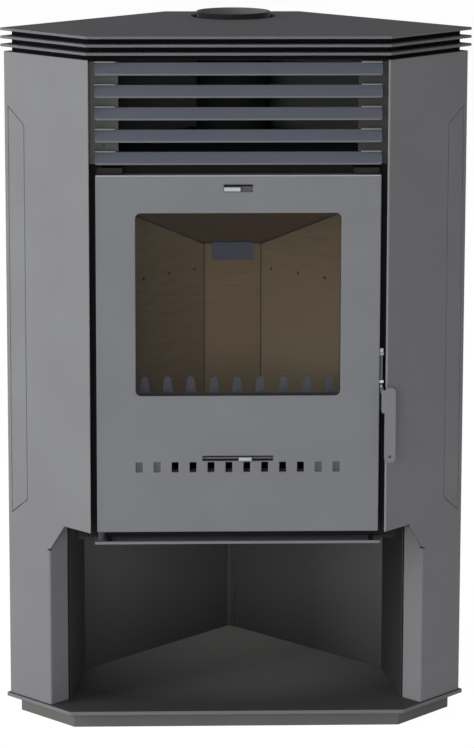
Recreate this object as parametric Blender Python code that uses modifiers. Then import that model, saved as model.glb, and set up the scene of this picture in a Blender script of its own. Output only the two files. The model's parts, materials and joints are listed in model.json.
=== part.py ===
"""Corner wood stove: a sheet-steel casing with louvres and a log store, round a brick-lined firebox.

Metres, +Z up. In plan the stove is a square corner with its front cut off. Depth is measured back
from the front edge of the top plates, and the empty called stove shifts it so that the origin is
under the middle of the whole.
"""

from math import atan2, cos, hypot, pi, radians, sin, sqrt, tan

import bmesh
import bpy
from mathutils import Matrix

ROOT2 = sqrt(2)
GAP = 0.0003  # between pieces that touch

# Plan of the whole stove
WIDTH = 0.730  # over the two widest corners
FRONT_WIDTH = 0.461  # front edge of the top plates
HEIGHT = 1.098  # floor to the upper face of the top plate

# Top: three plates round a recessed black core
PLATE = 0.004
PLATE_PITCH = 0.0125
CORE_INSET = 0.0127
CHEEK_TO_PLATE = 0.0075
REAR_RIM = 0.0045  # left between the flue hole and the square rear edge
LID = 0.002

# Casing
CASING_INSET = 0.003  # behind the edge of the plates
CHEEK_SHEET = 0.0025
PANEL_SHEET = 0.0015
CHEEK_RETURN = 0.012  # folded back beside the door
CHEEK_LAP = 0.015  # folded round the rear corner
BEND = 0.003
REAR_FOLD = 0.008  # flat fold where the two rear panels meet

# Plinth, floor and log store
PLINTH_HEIGHT = 0.0237
PLINTH_INSET = 0.016
PLINTH_SHEET = 0.002
FLOOR_PLATE = 0.006
FLOOR_SETBACK = 0.032
BASE_LEVEL = 0.3091  # underside of the plate between log store and firebox
BASE_PLATE = 0.0042
LIP_SIDE_GAP = 0.006  # beside its front lip
FOLD_SHARE = 0.4916  # of a cheek's length, where it folds in beside the logs
FOLD_WIDTH = 0.038
CUT_CHAMFER_DEPTH = 0.0235
CUT_CHAMFER_DROP = 0.043
CUT_ABOVE_BASE = 0.0142
RELIEF = 0.005
LOG_SIDE_LEAN = 0.020

# Covers let into the cheeks
COVER_SEAM = 0.001
COVER_INNER = 0.0450  # its inner edge, along the cheek, from the outer corner
COVER_OUTER = 0.0105
COVER_BOTTOM = 0.3305
COVER_BELOW_CHEEK_TOP = 0.0856
COVER_CHAMFER = 0.0258

# Louvre
SLATS = 5
SLAT_PITCH = 0.034
SLAT_HEIGHT = 0.0186
SLAT_BELOW_TOP = 0.0037
SLAT_CORNER = 0.004
SLAT_SIDE_GAP = 0.009
SLAT_SHEET = 0.0015
SLAT_LIP = 0.0032
SLAT_FRONT = 0.002
BRACKET_SHEET = 0.002
BRACKET_WIDTH = 0.0475

# Door
DOOR_FRONT = 0.004
DOOR_SIDE_GAP = 0.0098
DOOR_GAP_ABOVE = 0.0164
DOOR_GAP_BELOW = 0.0155
DOOR_SHEET = 0.0025
DOOR_THICKNESS = 0.022
WINDOW_SIDE = 0.0602
WINDOW_TOP = 0.0582
WINDOW_BOTTOM = 0.2150
WINDOW_RADIUS = 0.008
GLASS = 0.004
GLASS_LAP = 0.0115
RETAINER_WIDTH = 0.027
RETAINER_SHEET = 0.002
LINER_SHEET = 0.0025
SEAL = 0.0074
SEAL_INSET = 0.0152
HINGE_INSET = 0.0067
HINGE_BEHIND_FACE = 0.012
HINGE_PIN = 0.0035  # radius

# Air controls, placed from the window
HOLES = 12
HOLE_PITCH = 0.02762
HOLE_WIDTH = 0.0104
HOLE_HEIGHT = 0.0157
HOLES_BELOW_WINDOW = 0.1046
LOWER_SLOT_WIDTH = 0.109
LOWER_SLOT_HEIGHT = 0.008
LOWER_SLOT_BELOW_WINDOW = 0.0948
LOWER_TAB_WIDTH = 0.0195
LOWER_TAB_CENTRE = 0.01115
LOWER_WINDOWS = 8
LOWER_WINDOW_LEFT = 0.0875
UPPER_SLOT_WIDTH = 0.044
UPPER_SLOT_HEIGHT = 0.0113
UPPER_SLOT_ABOVE_WINDOW = 0.0327
UPPER_TAB_WIDTH = 0.0245
UPPER_TAB_TOP = 0.0075  # above its slot's lower edge
LOWER_TAB_TOP = 0.0062
TAB_REACH = 0.006
TAB_THICKNESS = 0.002
TAB_FOOT = 0.0016
SLIDER_SHEET = 0.0015
RAIL_WIDTH = 0.0055
RAIL_LAP = 0.004

# Handle
HANDLE_PIN_GAP = 0.0034  # from the door's edge to the pin's centre
HANDLE_PIN_DEPTH = 0.0045  # behind the door's face
HANDLE_PIN = 0.002  # radius
PIN_LENGTH = 0.0615
PIN_HEAD = 0.003
PIN_HEAD_HEIGHT = 0.006
HANDLE_BOTTOM = 0.1117  # above the door's lower edge
HANDLE_HEIGHT = 0.119
HANDLE_WIDTH = 0.0176
HANDLE_SHEET = 0.003
HANDLE_STAND_OFF = 0.0145
NECK_HEIGHT = 0.036
NECK_BELOW_TOP = 0.0044
TONGUE_END = 0.031
HANDLE_HOLE = 0.0025  # radius
HANDLE_HOLE_UP = 0.010

# Firebox
CONVECTION_GAP = 0.0303  # between its rear walls and the casing
BOX_SHEET = 0.004
BRICK = 0.025
BRICK_JOINT = 0.0015
PLENUM = 0.020  # air space behind the sloping bricks
REAR_SPACE = 0.025  # the same behind the rear brick
REAR_BRICK_WIDTH = 0.094
BOX_FRONT = 0.034
BOX_ABOVE_DOOR = 0.0191
MOUTH_SIDE = 0.0272
MOUTH_BOTTOM = 0.0232
MOUTH_TOP = 0.0202
BED_BELOW_WINDOW = 0.0648
GRATE_WIDTH = 0.150
GRATE_HEIGHT = 0.022
GRATE_SLOTS = 7
GRATE_SLOT = 0.009
ASH_HOLE_WIDTH = 0.100
ASH_HOLE_SHARE = 0.686  # of the grate's length
BAFFLE = 0.025
BAFFLE_RISE = 0.1184  # of its underside, from rear to front
BAFFLE_REAR_BELOW_TOP = 0.1778
BAFFLE_FRONT_SHARE = 0.782  # of the side bricks' depth
BAFFLE_SHADOW = 0.004  # open between it and the sloping bricks
BAFFLE_BRACKET_WIDTH = 0.066
BAFFLE_BRACKET_HEIGHT = 0.029
BAFFLE_BRACKET_SHEET = 0.0027
AIR_HOLES = 3
AIR_HOLE = 0.003  # radius
AIR_HOLE_PITCH = 0.243  # of the sloping brick's length
AIR_HOLE_FIRST = 0.0893
AIR_HOLE_LEVEL = 0.829  # of the rear brick's height
TEETH = 9
TOOTH_PITCH = 0.0359
TOOTH_WIDTH = 0.0185
TOOTH_TIP = 0.0055  # radius
TOOTH_HEIGHT = 0.036
RETAINER_HEIGHT = 0.048
RETAINER_THICKNESS = 0.006
RETAINER_DEPTH = 0.056

# Flue
FLUE_RADIUS = 0.059
FLUE_WALL = 0.003
FLUE_ABOVE_TOP = 0.0077
FLUE_CLEARANCE = 0.009
FLUE_FLANGE = 0.005

# Ash pan
ASH_WIDTH = 0.280
ASH_LENGTH = 0.240
ASH_HEIGHT = 0.060
ASH_WALL = 0.0015
ASH_FRONT = 0.045
ASH_PULL = 0.060

# Levels
TOP_UNDERSIDE = HEIGHT - PLATE
MIDDLE_UNDERSIDE = TOP_UNDERSIDE - PLATE_PITCH
LOWER_UNDERSIDE = MIDDLE_UNDERSIDE - PLATE_PITCH
CHEEK_TOP = LOWER_UNDERSIDE - CHEEK_TO_PLATE
FLOOR_LEVEL = PLINTH_HEIGHT + GAP + FLOOR_PLATE
BASE_TOP = BASE_LEVEL + BASE_PLATE
SLAT_TOP = CHEEK_TOP - 2 * GAP - SLAT_BELOW_TOP
LOWEST_SLAT = SLAT_TOP - (SLATS - 1) * SLAT_PITCH - SLAT_HEIGHT
DOOR_TOP = LOWEST_SLAT - DOOR_GAP_ABOVE
DOOR_BOTTOM = BASE_TOP + DOOR_GAP_BELOW
WINDOW_CEILING = DOOR_TOP - WINDOW_TOP
WINDOW_SILL = DOOR_BOTTOM + WINDOW_BOTTOM
BOX_TOP = DOOR_TOP + BOX_ABOVE_DOOR
BED = WINDOW_SILL - BED_BELOW_WINDOW
BAFFLE_REAR_LEVEL = BOX_TOP - BAFFLE_REAR_BELOW_TOP

# Plan lines: x + depth is constant along the rear walls
REAR_SUM = WIDTH - FRONT_WIDTH / 2
CHEEK_EDGE = FRONT_WIDTH / 2 - 0.0035  # face of the cheeks' returns beside the door
CHEEK_NOSE = CHEEK_EDGE - FRONT_WIDTH / 2 + CASING_INSET * ROOT2
BASE_LIP = CHEEK_EDGE - LIP_SIDE_GAP
DOOR_EDGE = CHEEK_EDGE - DOOR_SIDE_GAP
SLAT_END = CHEEK_EDGE - SLAT_SIDE_GAP
PANEL_INSET = CASING_INSET + CHEEK_SHEET + GAP
BOX_OUTER_SUM = REAR_SUM - (PANEL_INSET + PANEL_SHEET + CONVECTION_GAP) * ROOT2
BOX_INNER_SUM = BOX_OUTER_SUM - BOX_SHEET * ROOT2
BRICK_SUM = BOX_INNER_SUM - (PLENUM + BRICK) * ROOT2
BRICK_REAR = BRICK_SUM - REAR_BRICK_WIDTH / 2
BOX_REAR = BRICK_REAR + BRICK + REAR_SPACE
BRICK_SIDE = DOOR_EDGE
BOX_SIDE = BRICK_SIDE + BRICK + GAP
BOX_INSIDE_FRONT = BOX_FRONT + BOX_SHEET + GAP
BRICK_CORNER = BRICK_SUM - BRICK_SIDE
BAFFLE_FRONT = BAFFLE_FRONT_SHARE * BRICK_CORNER
BAFFLE_SLOPE = atan2(BAFFLE_RISE, BRICK_REAR - BAFFLE_FRONT)
FLUE_DEPTH = BOX_REAR - FLUE_RADIUS - FLUE_WALL
FLUE_HOLE = FLUE_RADIUS + FLUE_CLEARANCE
REAR_CUT = FLUE_DEPTH + FLUE_HOLE + REAR_RIM
APEX = REAR_SUM

# Moving parts
HINGE_X = -DOOR_EDGE + HINGE_INSET
HINGE_DEPTH = DOOR_FRONT + HINGE_BEHIND_FACE
HANDLE_X = DOOR_EDGE + HANDLE_PIN_GAP
HANDLE_DEPTH = DOOR_FRONT + HANDLE_PIN_DEPTH
HANDLE_FACE = DOOR_FRONT - HANDLE_STAND_OFF - HANDLE_SHEET
ORIGIN_DEPTH = (HANDLE_FACE + APEX) / 2
SLIDER_DEPTH = DOOR_FRONT + DOOR_SHEET + GAP
LINER_REAR = DOOR_FRONT + DOOR_THICKNESS
HANDLE_LOW = DOOR_BOTTOM + HANDLE_BOTTOM
NECK_TOP = HANDLE_LOW + HANDLE_HEIGHT - NECK_BELOW_TOP
PIN_TOP = NECK_TOP + PIN_LENGTH

for old in list(bpy.data.objects):
    bpy.data.objects.remove(old)

PARTS = bpy.data.collections.new("corner_stove")
CUTTERS = bpy.data.collections.new("cutters")
for collection in (PARTS, CUTTERS):
    bpy.context.scene.collection.children.link(collection)


def linear(code):
    """A colour written as RRGGBB, as linear RGBA."""
    values = [int(code[i : i + 2], 16) / 255 for i in (0, 2, 4)]
    return [v / 12.92 if v <= 0.04045 else ((v + 0.055) / 1.055) ** 2.4 for v in values] + [1]


def finish(name, code, roughness, metallic=0.0, alpha=1.0):
    """A Principled material."""
    material = bpy.data.materials.new(name)
    material.use_nodes = True
    shader = material.node_tree.nodes["Principled BSDF"]
    shader.inputs["Base Color"].default_value = linear(code)
    shader.inputs["Roughness"].default_value = roughness
    shader.inputs["Metallic"].default_value = metallic
    shader.inputs["Alpha"].default_value = alpha
    material.diffuse_color = linear(code)[:3] + [alpha]
    return material


def pivot(name, x, depth, parent=None):
    """An empty on a joint's axis, with the place in stove coordinates that its children need."""
    empty = bpy.data.objects.new(name, None)
    empty.location = (x, depth, 0)
    PARTS.objects.link(empty)
    empty["place"] = (x, depth)
    if parent:
        hang(empty, parent)
    return empty


def hang(obj, parent):
    """Parents the object and leaves it where it is in stove coordinates."""
    x, depth = parent["place"]
    obj.parent = parent
    obj.matrix_parent_inverse = Matrix.Translation((-x, -depth, 0))


STOVE = bpy.data.objects.new("stove", None)
STOVE.location = (0, -ORIGIN_DEPTH, 0)
STOVE["place"] = (0, 0)
PARTS.objects.link(STOVE)
DOOR_PIVOT = pivot("door_hinge_axis", HINGE_X, HINGE_DEPTH, STOVE)
HANDLE_PIVOT = pivot("handle_axis", HANDLE_X, HANDLE_DEPTH, DOOR_PIVOT)

PAINT = finish("grey_paint", "8A8B8E", 0.55, 0.2)
PLATE_PAINT = finish("plate_paint", "6E6F72", 0.5, 0.2)
SLAT_PAINT = finish("slat_paint", "6A6C76", 0.5, 0.2)
BLACK = finish("black_paint", "2B2B2C", 0.6)
BOX_STEEL = finish("firebox_steel", "3A3B3D", 0.6, 0.5)
CAST = finish("cast_iron", "565A66", 0.65, 0.4)
BRICK_STONE = finish("vermiculite", "7A6B50", 0.95)
BRIGHT = finish("bright_steel", "B9BABC", 0.3, 1.0)
ZINC = finish("zinc_steel", "5B6070", 0.5, 0.6)
GLASS_CLEAR = finish("ceramic_glass", "6F6350", 0.05, 0.0, 0.25)
ROPE = finish("seal_rope", "2A2A2A", 0.95)


def add(name, data, material, parent=STOVE, place=None):
    """A new object in the stove's collection."""
    obj = bpy.data.objects.new(name, data)
    obj.matrix_basis = place or Matrix()
    if material:
        data.materials.append(material)
        PARTS.objects.link(obj)
    else:
        CUTTERS.objects.link(obj)
        obj.hide_render = True
        obj.display_type = "WIRE"
    hang(obj, parent)
    return obj


def mesh_from(bm, name, smooth=False):
    """The finished mesh of a bmesh, facing out."""
    bmesh.ops.recalc_face_normals(bm, faces=bm.faces)
    mesh = bpy.data.meshes.new(name)
    bm.to_mesh(mesh)
    bm.free()
    if smooth:
        mesh.shade_smooth()
        mesh.set_sharp_from_angle(angle=radians(35))
    return mesh


def flat(name, loops, thickness, place, material, parent=STOVE):
    """A flat plate from closed outlines, the ones inside cut out of the outer, made a mesh."""
    curve = bpy.data.curves.new(name, "CURVE")
    curve.dimensions = "2D"
    curve.fill_mode = "BOTH"
    curve.extrude = thickness / 2
    for loop in loops:
        spline = curve.splines.new("POLY")
        spline.points.add(len(loop) - 1)
        for point, (x, y) in zip(spline.points, loop):
            point.co = (x, y, 0, 1)
        spline.use_cyclic_u = True
    drawn = bpy.data.objects.new(name, curve)
    PARTS.objects.link(drawn)
    graph = bpy.context.evaluated_depsgraph_get()
    graph.update()
    bm = bmesh.new()
    bm.from_mesh(drawn.evaluated_get(graph).to_mesh())
    bpy.data.objects.remove(drawn)
    bmesh.ops.remove_doubles(bm, verts=bm.verts, dist=0.00001)
    bmesh.ops.dissolve_degenerate(bm, dist=0.000001, edges=bm.edges)
    return add(name, mesh_from(bm, name), material, parent, place)


def level(bottom, thickness):
    """Lays a flat outline level, with its underside at this height."""
    return Matrix.Translation((0, 0, bottom + thickness / 2))


def upright(front, thickness):
    """Stands a flat outline up, drawn in x and height, with its front face at this depth."""
    return Matrix.Translation((0, front + thickness / 2, 0)) @ Matrix.Rotation(pi / 2, 4, "X")


def along(start, end, thickness):
    """Stands a flat outline on the line from start to end, thick to the right as it is walked."""
    angle = atan2(end[1] - start[1], end[0] - start[0])
    turn = Matrix.Rotation(angle, 4, "Z") @ Matrix.Rotation(pi / 2, 4, "X")
    return Matrix.Translation((*start, 0)) @ turn @ Matrix.Translation((0, 0, thickness / 2))


def box_outline(x0, x1, y0, y1):
    return [(x0, y0), (x1, y0), (x1, y1), (x0, y1)]


def arc(cx, cy, radius, start, end, steps):
    """Points on an arc, in degrees."""
    angles = [radians(start + (end - start) * i / steps) for i in range(steps + 1)]
    return [(cx + radius * cos(a), cy + radius * sin(a)) for a in angles]


def rounded(x0, x1, y0, y1, radius, steps=4):
    """A rectangle with round corners."""
    corners = ((x1, y0, 270), (x1, y1, 0), (x0, y1, 90), (x0, y0, 180))
    points = []
    for x, y, start in corners:
        cx = x - radius if x == x1 else x + radius
        cy = y - radius if y == y1 else y + radius
        points += arc(cx, cy, radius, start, start + 90, steps)
    return points


def circle(cx, cy, radius, steps=32):
    return arc(cx, cy, radius, 0, 360 - 360 / steps, steps - 1)


def block(name, x0, x1, d0, d1, z0, z1, material, parent=STOVE):
    """A rectangular piece or cutter between two corners."""
    bm = bmesh.new()
    bmesh.ops.create_cube(bm, size=1)
    bmesh.ops.scale(bm, vec=(x1 - x0, d1 - d0, z1 - z0), verts=bm.verts)
    place = Matrix.Translation(((x0 + x1) / 2, (d0 + d1) / 2, (z0 + z1) / 2))
    return add(name, mesh_from(bm, name), material, parent, place)


def rod(name, x, depth, bottom, top, radius, material, parent=STOVE, sides=16):
    """A round pin or bore standing upright."""
    bm = bmesh.new()
    bmesh.ops.create_cone(
        bm, cap_ends=True, segments=sides, radius1=radius, radius2=radius, depth=top - bottom
    )
    place = Matrix.Translation((x, depth, (bottom + top) / 2))
    return add(name, mesh_from(bm, name, smooth=True), material, parent, place)


def join(obj, other, operation="UNION"):
    """Joins another solid to the piece, or cuts it out."""
    modifier = obj.modifiers.new(other.name, "BOOLEAN")
    modifier.operation = operation
    modifier.object = other
    return obj


def carve(obj, cutter):
    return join(obj, cutter, "DIFFERENCE")


def rounded_path(points, radius, steps=4):
    """An open path with each inner corner turned to an arc."""
    path = [points[0]]
    for before, corner, after in zip(points, points[1:], points[2:]):
        inward = [(a - c) / hypot(before[0] - corner[0], before[1] - corner[1])
                  for a, c in zip(before, corner)]
        outward = [(a - c) / hypot(after[0] - corner[0], after[1] - corner[1])
                   for a, c in zip(after, corner)]
        half = atan2(hypot(inward[0] - outward[0], inward[1] - outward[1]),
                     hypot(inward[0] + outward[0], inward[1] + outward[1]))
        reach = radius / tan(half)
        middle = [inward[0] + outward[0], inward[1] + outward[1]]
        scale = radius / sin(half) / hypot(*middle)
        centre = [c + m * scale for c, m in zip(corner, middle)]
        first = [c + v * reach - o for c, v, o in zip(corner, inward, centre)]
        last = [c + v * reach - o for c, v, o in zip(corner, outward, centre)]
        start = atan2(first[1], first[0])
        sweep = (atan2(last[1], last[0]) - start + pi) % (2 * pi) - pi
        for i in range(steps + 1):
            turn = start + sweep * i / steps
            path.append((centre[0] + radius * cos(turn), centre[1] + radius * sin(turn)))
    return path + [points[-1]]


def bent(name, path, bottom, top, thickness, material, parent=STOVE):
    """Folded sheet: a path in plan drawn upright. It is thick to the left as the path is walked."""
    bm = bmesh.new()
    low = [bm.verts.new((x, y, bottom)) for x, y in path]
    high = [bm.verts.new((x, y, top)) for x, y in path]
    for a, b, c, d in zip(low, low[1:], high[1:], high):
        bm.faces.new((a, b, c, d))
    mesh = bpy.data.meshes.new(name)
    bm.to_mesh(mesh)
    bm.free()
    obj = add(name, mesh, material, parent)
    sheet = obj.modifiers.new("sheet", "SOLIDIFY")
    sheet.thickness = thickness
    sheet.offset = -1
    sheet.use_even_offset = True
    return obj


def mirrored(points, side):
    """The plan points for one side of the stove, +1 right or -1 left, walked the same way round."""
    return points if side > 0 else [(-x, y) for x, y in reversed(points)]


def side_name(side):
    return "right" if side > 0 else "left"


def front_x(depth, inset):
    """Half width of the 45 degree fronts at a depth, this far inside the plates' edge."""
    return FRONT_WIDTH / 2 + depth - inset * ROOT2


def widest(side_inset, rear_inset):
    """The outer corner of an outline inside the plates' edge."""
    return (
        (FRONT_WIDTH / 2 + REAR_SUM - (side_inset + rear_inset) * ROOT2) / 2,
        (REAR_SUM - FRONT_WIDTH / 2 + (side_inset - rear_inset) * ROOT2) / 2,
    )


def plan(front, side_inset, rear_inset, rear_cut=None):
    """The stove's outline in plan, inside the plates' edge, with or without the square rear edge."""
    right = [(front_x(front, side_inset), front), widest(side_inset, rear_inset)]
    end = REAR_SUM - rear_inset * ROOT2
    rear = [(end - rear_cut, rear_cut), (rear_cut - end, rear_cut)] if rear_cut else [(0, end)]
    left = [(-x, y) for x, y in reversed(right)]
    return right + rear + left


def flue_circle(radius):
    return circle(0, FLUE_DEPTH, radius)


def plinth_and_floor():
    """The recessed ring that it stands on, and the plate that carries the casing."""
    front = FLOOR_SETBACK + PLINTH_INSET
    outside = plan(front, PLINTH_INSET, PLINTH_INSET)
    within = PLINTH_INSET + PLINTH_SHEET
    inside = plan(front + PLINTH_SHEET, within, within)
    flat("plinth", [outside, inside], PLINTH_HEIGHT, level(0, PLINTH_HEIGHT), PAINT)
    lift = PLINTH_HEIGHT + GAP
    flat("floor_plate", [plan(FLOOR_SETBACK, 0, 0)], FLOOR_PLATE, level(lift, FLOOR_PLATE), PLATE_PAINT)


def cheek_point(run, inward=0.0, side=1):
    """Plan point on a cheek, by its run from the front fold and its depth into the casing."""
    x = CHEEK_EDGE + (run - inward) / ROOT2
    return side * x, CHEEK_NOSE + (run + inward) / ROOT2


def cheek_length():
    return (widest(CASING_INSET, CASING_INSET)[0] - CHEEK_EDGE) * ROOT2


def fold_run():
    """Run from the front fold to the fold beside the logs."""
    return FOLD_SHARE * cheek_length()


def on_cheek(name, outline, side, inward, thickness, material):
    """A plate parallel to a cheek, drawn in run and height, its outer face this far inside."""
    if side > 0:
        start, end = cheek_point(0, inward), cheek_point(1, inward)
        place = along(start, end, -thickness)
        return flat(name, [outline], thickness, place, material)
    start, end = cheek_point(0, inward, -1), cheek_point(-1, inward, -1)
    flipped = [(-x, y) for x, y in outline]
    return flat(name, [flipped], thickness, along(start, end, -thickness), material)


def cover_outline(grow):
    """The six-sided cover let into each cheek, drawn in run and height."""
    slope = atan2(COVER_CHAMFER, COVER_INNER - COVER_OUTER)
    outward = grow / cos(slope) + grow * tan(slope)
    inward = grow / cos(slope) - grow * tan(slope) - COVER_CHAMFER
    inner = cheek_length() - COVER_INNER - grow
    outer = cheek_length() - COVER_OUTER + grow
    bottom, top = COVER_BOTTOM, CHEEK_TOP - COVER_BELOW_CHEEK_TOP
    return [
        (inner, bottom - inward), (outer, bottom - outward), (outer, top + outward), (inner, top + inward)
    ]


def cheek(side):
    """One 45 degree side front: folded beside the door, round the rear corner and beside the logs."""
    name = "cheek_" + side_name(side)
    corner = widest(CASING_INSET, CASING_INSET)
    lap = CHEEK_LAP / ROOT2
    path = [
        (CHEEK_EDGE, CHEEK_NOSE + CHEEK_RETURN),
        (CHEEK_EDGE, CHEEK_NOSE),
        corner,
        (corner[0] - lap, corner[1] + lap),
    ]
    bottom = FLOOR_LEVEL + GAP
    smooth = path[:1] + rounded_path(path[1:], BEND)
    sheet = bent(name, mirrored(smooth, side), bottom, CHEEK_TOP, CHEEK_SHEET, PAINT)

    fold = fold_run()
    cut_top = BASE_TOP + CUT_ABOVE_BASE
    shoulder = fold - CUT_CHAMFER_DEPTH * ROOT2
    notch = cut_top - CUT_CHAMFER_DROP
    margin = 0.02
    low = box_outline(-margin, fold + BEND, -margin, notch - RELIEF / 4)
    carve(sheet, on_cheek(name + "_log_opening", low, side, -margin, 3 * margin, None))
    join(sheet, flap(side, bottom, notch, margin))
    high = [
        (-margin, notch - RELIEF / 2), (fold - GAP, notch - RELIEF / 2), (fold - GAP, notch),
        (shoulder, cut_top), (-margin, cut_top),
    ]
    carve(sheet, on_cheek(name + "_log_arch", high, side, -margin, 4 * margin, None))
    relief = box_outline(fold - 2 * GAP, fold + RELIEF, notch - RELIEF / 2, notch)
    carve(sheet, on_cheek(name + "_relief", relief, side, -margin, margin + 2 * BEND, None))
    opening = on_cheek(
        name + "_cover_cut", cover_outline(COVER_SEAM), side, -margin, 2 * margin, None
    )
    carve(sheet, opening)
    on_cheek("cheek_cover_" + side_name(side), cover_outline(0), side, 0, CHEEK_SHEET, PAINT)


def flap(side, bottom, notch, margin):
    """The flange beside the logs. Over the notch its edge slopes like the corner it was cut from."""
    fold = fold_run()
    path = [cheek_point(fold, FOLD_WIDTH), cheek_point(fold), cheek_point(fold + 3 * BEND)]
    path = mirrored(rounded_path(path, BEND), side)
    name = f"cheek_{side_name(side)}_flap"
    folded = bent(name, path, bottom, BASE_TOP, CHEEK_SHEET, None)

    foot = notch - RELIEF / 8
    rise = CUT_CHAMFER_DROP
    near = BEND + 3 * GAP
    corner = [
        (-margin, foot), (near, foot), (near + CUT_CHAMFER_DEPTH * ROOT2, foot + rise),
        (-margin, foot + rise),
    ]
    start_run = fold - side * margin
    start, end = cheek_point(start_run, 0, side), cheek_point(start_run, 1, side)
    place = along(start, end, 2 * margin)
    return carve(folded, flat(name + "_corner", [corner], 2 * margin, place, None))


def rear_panels():
    """The two rear walls. The left one folds flat over the corner and laps inside the right one."""
    start = widest(CASING_INSET + 2 * CHEEK_SHEET, PANEL_INSET)
    fold = REAR_SUM - PANEL_INSET * ROOT2 - REAR_FOLD / 2
    bottom = FLOOR_LEVEL + GAP
    top = CHEEK_TOP - LID - GAP
    edge = REAR_FOLD / 2
    turn = edge - (PANEL_SHEET + GAP) * ROOT2
    right = [start, (edge, fold)]
    left = [(turn + REAR_FOLD, fold - REAR_FOLD), (turn, fold), (-edge, fold), (-start[0], start[1])]
    bent("rear_panel_right", right, bottom, top, PANEL_SHEET, PAINT)
    bent("rear_panel_left", left, bottom, top, PANEL_SHEET, PAINT)


def log_store_side(side):
    """Inner wall of the log store, from the cheek's fold to the rear panel."""
    x, depth = cheek_point(fold_run(), FOLD_WIDTH)
    start = (x - PANEL_SHEET, depth + 2 * GAP)
    sum_inside = REAR_SUM - (PANEL_INSET + PANEL_SHEET + GAP) * ROOT2
    end_x = start[0] - LOG_SIDE_LEAN
    end = (end_x, sum_inside - end_x - 2 * GAP)
    path = mirrored([start, end], side)
    bottom = FLOOR_LEVEL + GAP
    bent("log_store_side_" + side_name(side), path, bottom, BASE_LEVEL - GAP, PANEL_SHEET, BLACK)


def body_base():
    """Plate between log store and firebox. Its front lip is the rail under the door.

    Beside the firebox its front corners are open, where the casing draws in the air that it warms.
    """
    side = BOX_SIDE + BOX_SHEET
    behind = fold_run() + CHEEK_SHEET + 3 * GAP
    inset = CASING_INSET + CHEEK_SHEET + GAP
    rear = PANEL_INSET + PANEL_SHEET + GAP
    end = REAR_SUM - rear * ROOT2
    apex = 2 * REAR_FOLD
    right = [
        (BASE_LIP, DOOR_FRONT), (BASE_LIP, BOX_FRONT), (side, BOX_FRONT + BOX_SHEET),
        (side, CHEEK_EDGE + CHEEK_NOSE + behind * ROOT2 - side), cheek_point(behind, CHEEK_SHEET + GAP),
        widest(inset, rear), (apex, end - apex),
    ]
    outline = right + [(-x, y) for x, y in reversed(right)]
    collar = 2 * HINGE_PIN
    spare = 0.0075
    x = -HINGE_X
    lug_hole = box_outline(
        HINGE_X + collar, HINGE_X + collar + spare, DOOR_FRONT + 0.002, HINGE_DEPTH + 0.001)
    loops = [outline, lug_hole, circle(x, HINGE_DEPTH, HINGE_PIN, 12)]
    base = flat("body_base", loops, BASE_PLATE, level(BASE_LEVEL, BASE_PLATE), PAINT)
    reach = DOOR_BOTTOM + 2 * DOOR_SHEET
    stud = rod("lower_hinge_stud", HINGE_X, HINGE_DEPTH, BASE_LEVEL + GAP, reach, HINGE_PIN, None)
    shoulder = rod(
        "stud_shoulder", HINGE_X, HINGE_DEPTH, BASE_LEVEL + GAP, DOOR_BOTTOM - GAP, 1.6 * HINGE_PIN, None
    )
    join(base, stud)
    join(base, shoulder)


def firebox_walls():
    """Welded steel box: front with the mouth, two straight sides, two sloping walls, rear and top."""
    bottom = BASE_TOP + GAP
    side = BOX_SIDE + BOX_SHEET
    mouth = rounded(
        MOUTH_SIDE - DOOR_EDGE, DOOR_EDGE - MOUTH_SIDE, DOOR_BOTTOM + MOUTH_BOTTOM, DOOR_TOP - MOUTH_TOP, BEND
    )
    front = box_outline(-side, side, bottom, BOX_TOP - GAP)
    flat("firebox_front", [front, mouth], BOX_SHEET, upright(BOX_FRONT, BOX_SHEET), BOX_STEEL)

    height = BOX_TOP - GAP
    turn = BOX_INNER_SUM - BOX_SIDE
    wall = box_outline(0, turn - 2 * GAP - BOX_INSIDE_FRONT, bottom, height)
    for sign in (1, -1):
        x = sign * (BOX_SIDE + (BOX_SHEET if sign < 0 else 0))
        start, end = (x, BOX_INSIDE_FRONT), (x, BOX_SIDE)
        place = along(start, end, BOX_SHEET)
        flat("firebox_side_" + side_name(sign), [wall], BOX_SHEET, place, BOX_STEEL)

    far = BOX_REAR + BOX_SHEET
    near_corner = (BOX_SIDE - GAP, BOX_INNER_SUM - BOX_SIDE + GAP)
    far_corner = (BOX_INNER_SUM - far, far)
    length = hypot(near_corner[0] - far_corner[0], near_corner[1] - far_corner[1])
    slope = box_outline(0, length, bottom, height)
    place = along(near_corner, far_corner, BOX_SHEET)
    flat("firebox_wall_right", [slope], BOX_SHEET, place, BOX_STEEL)
    place = along((-far_corner[0], far), (-near_corner[0], near_corner[1]), BOX_SHEET)
    flat("firebox_wall_left", [slope], BOX_SHEET, place, BOX_STEEL)

    half = BOX_INNER_SUM - far - 2 * GAP
    rear = box_outline(-half, half, bottom, height)
    flat("firebox_rear_wall", [rear], BOX_SHEET, upright(BOX_REAR, BOX_SHEET), BOX_STEEL)

    right = [(side, BOX_FRONT), (side, BOX_OUTER_SUM - side), (BOX_OUTER_SUM - far, far)]
    outline = right + [(-x, y) for x, y in reversed(right)]
    loops = [outline, flue_circle(FLUE_RADIUS - FLUE_WALL)]
    flat("firebox_top", loops, BOX_SHEET, level(BOX_TOP, BOX_SHEET), BOX_STEEL)


def bed_outline(side_x, wall_sum, front, rear):
    """Right half of the firebox floor in plan, from its middle line."""
    return [(side_x, front), (side_x, wall_sum - side_x), (wall_sum - rear, rear)]


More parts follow.
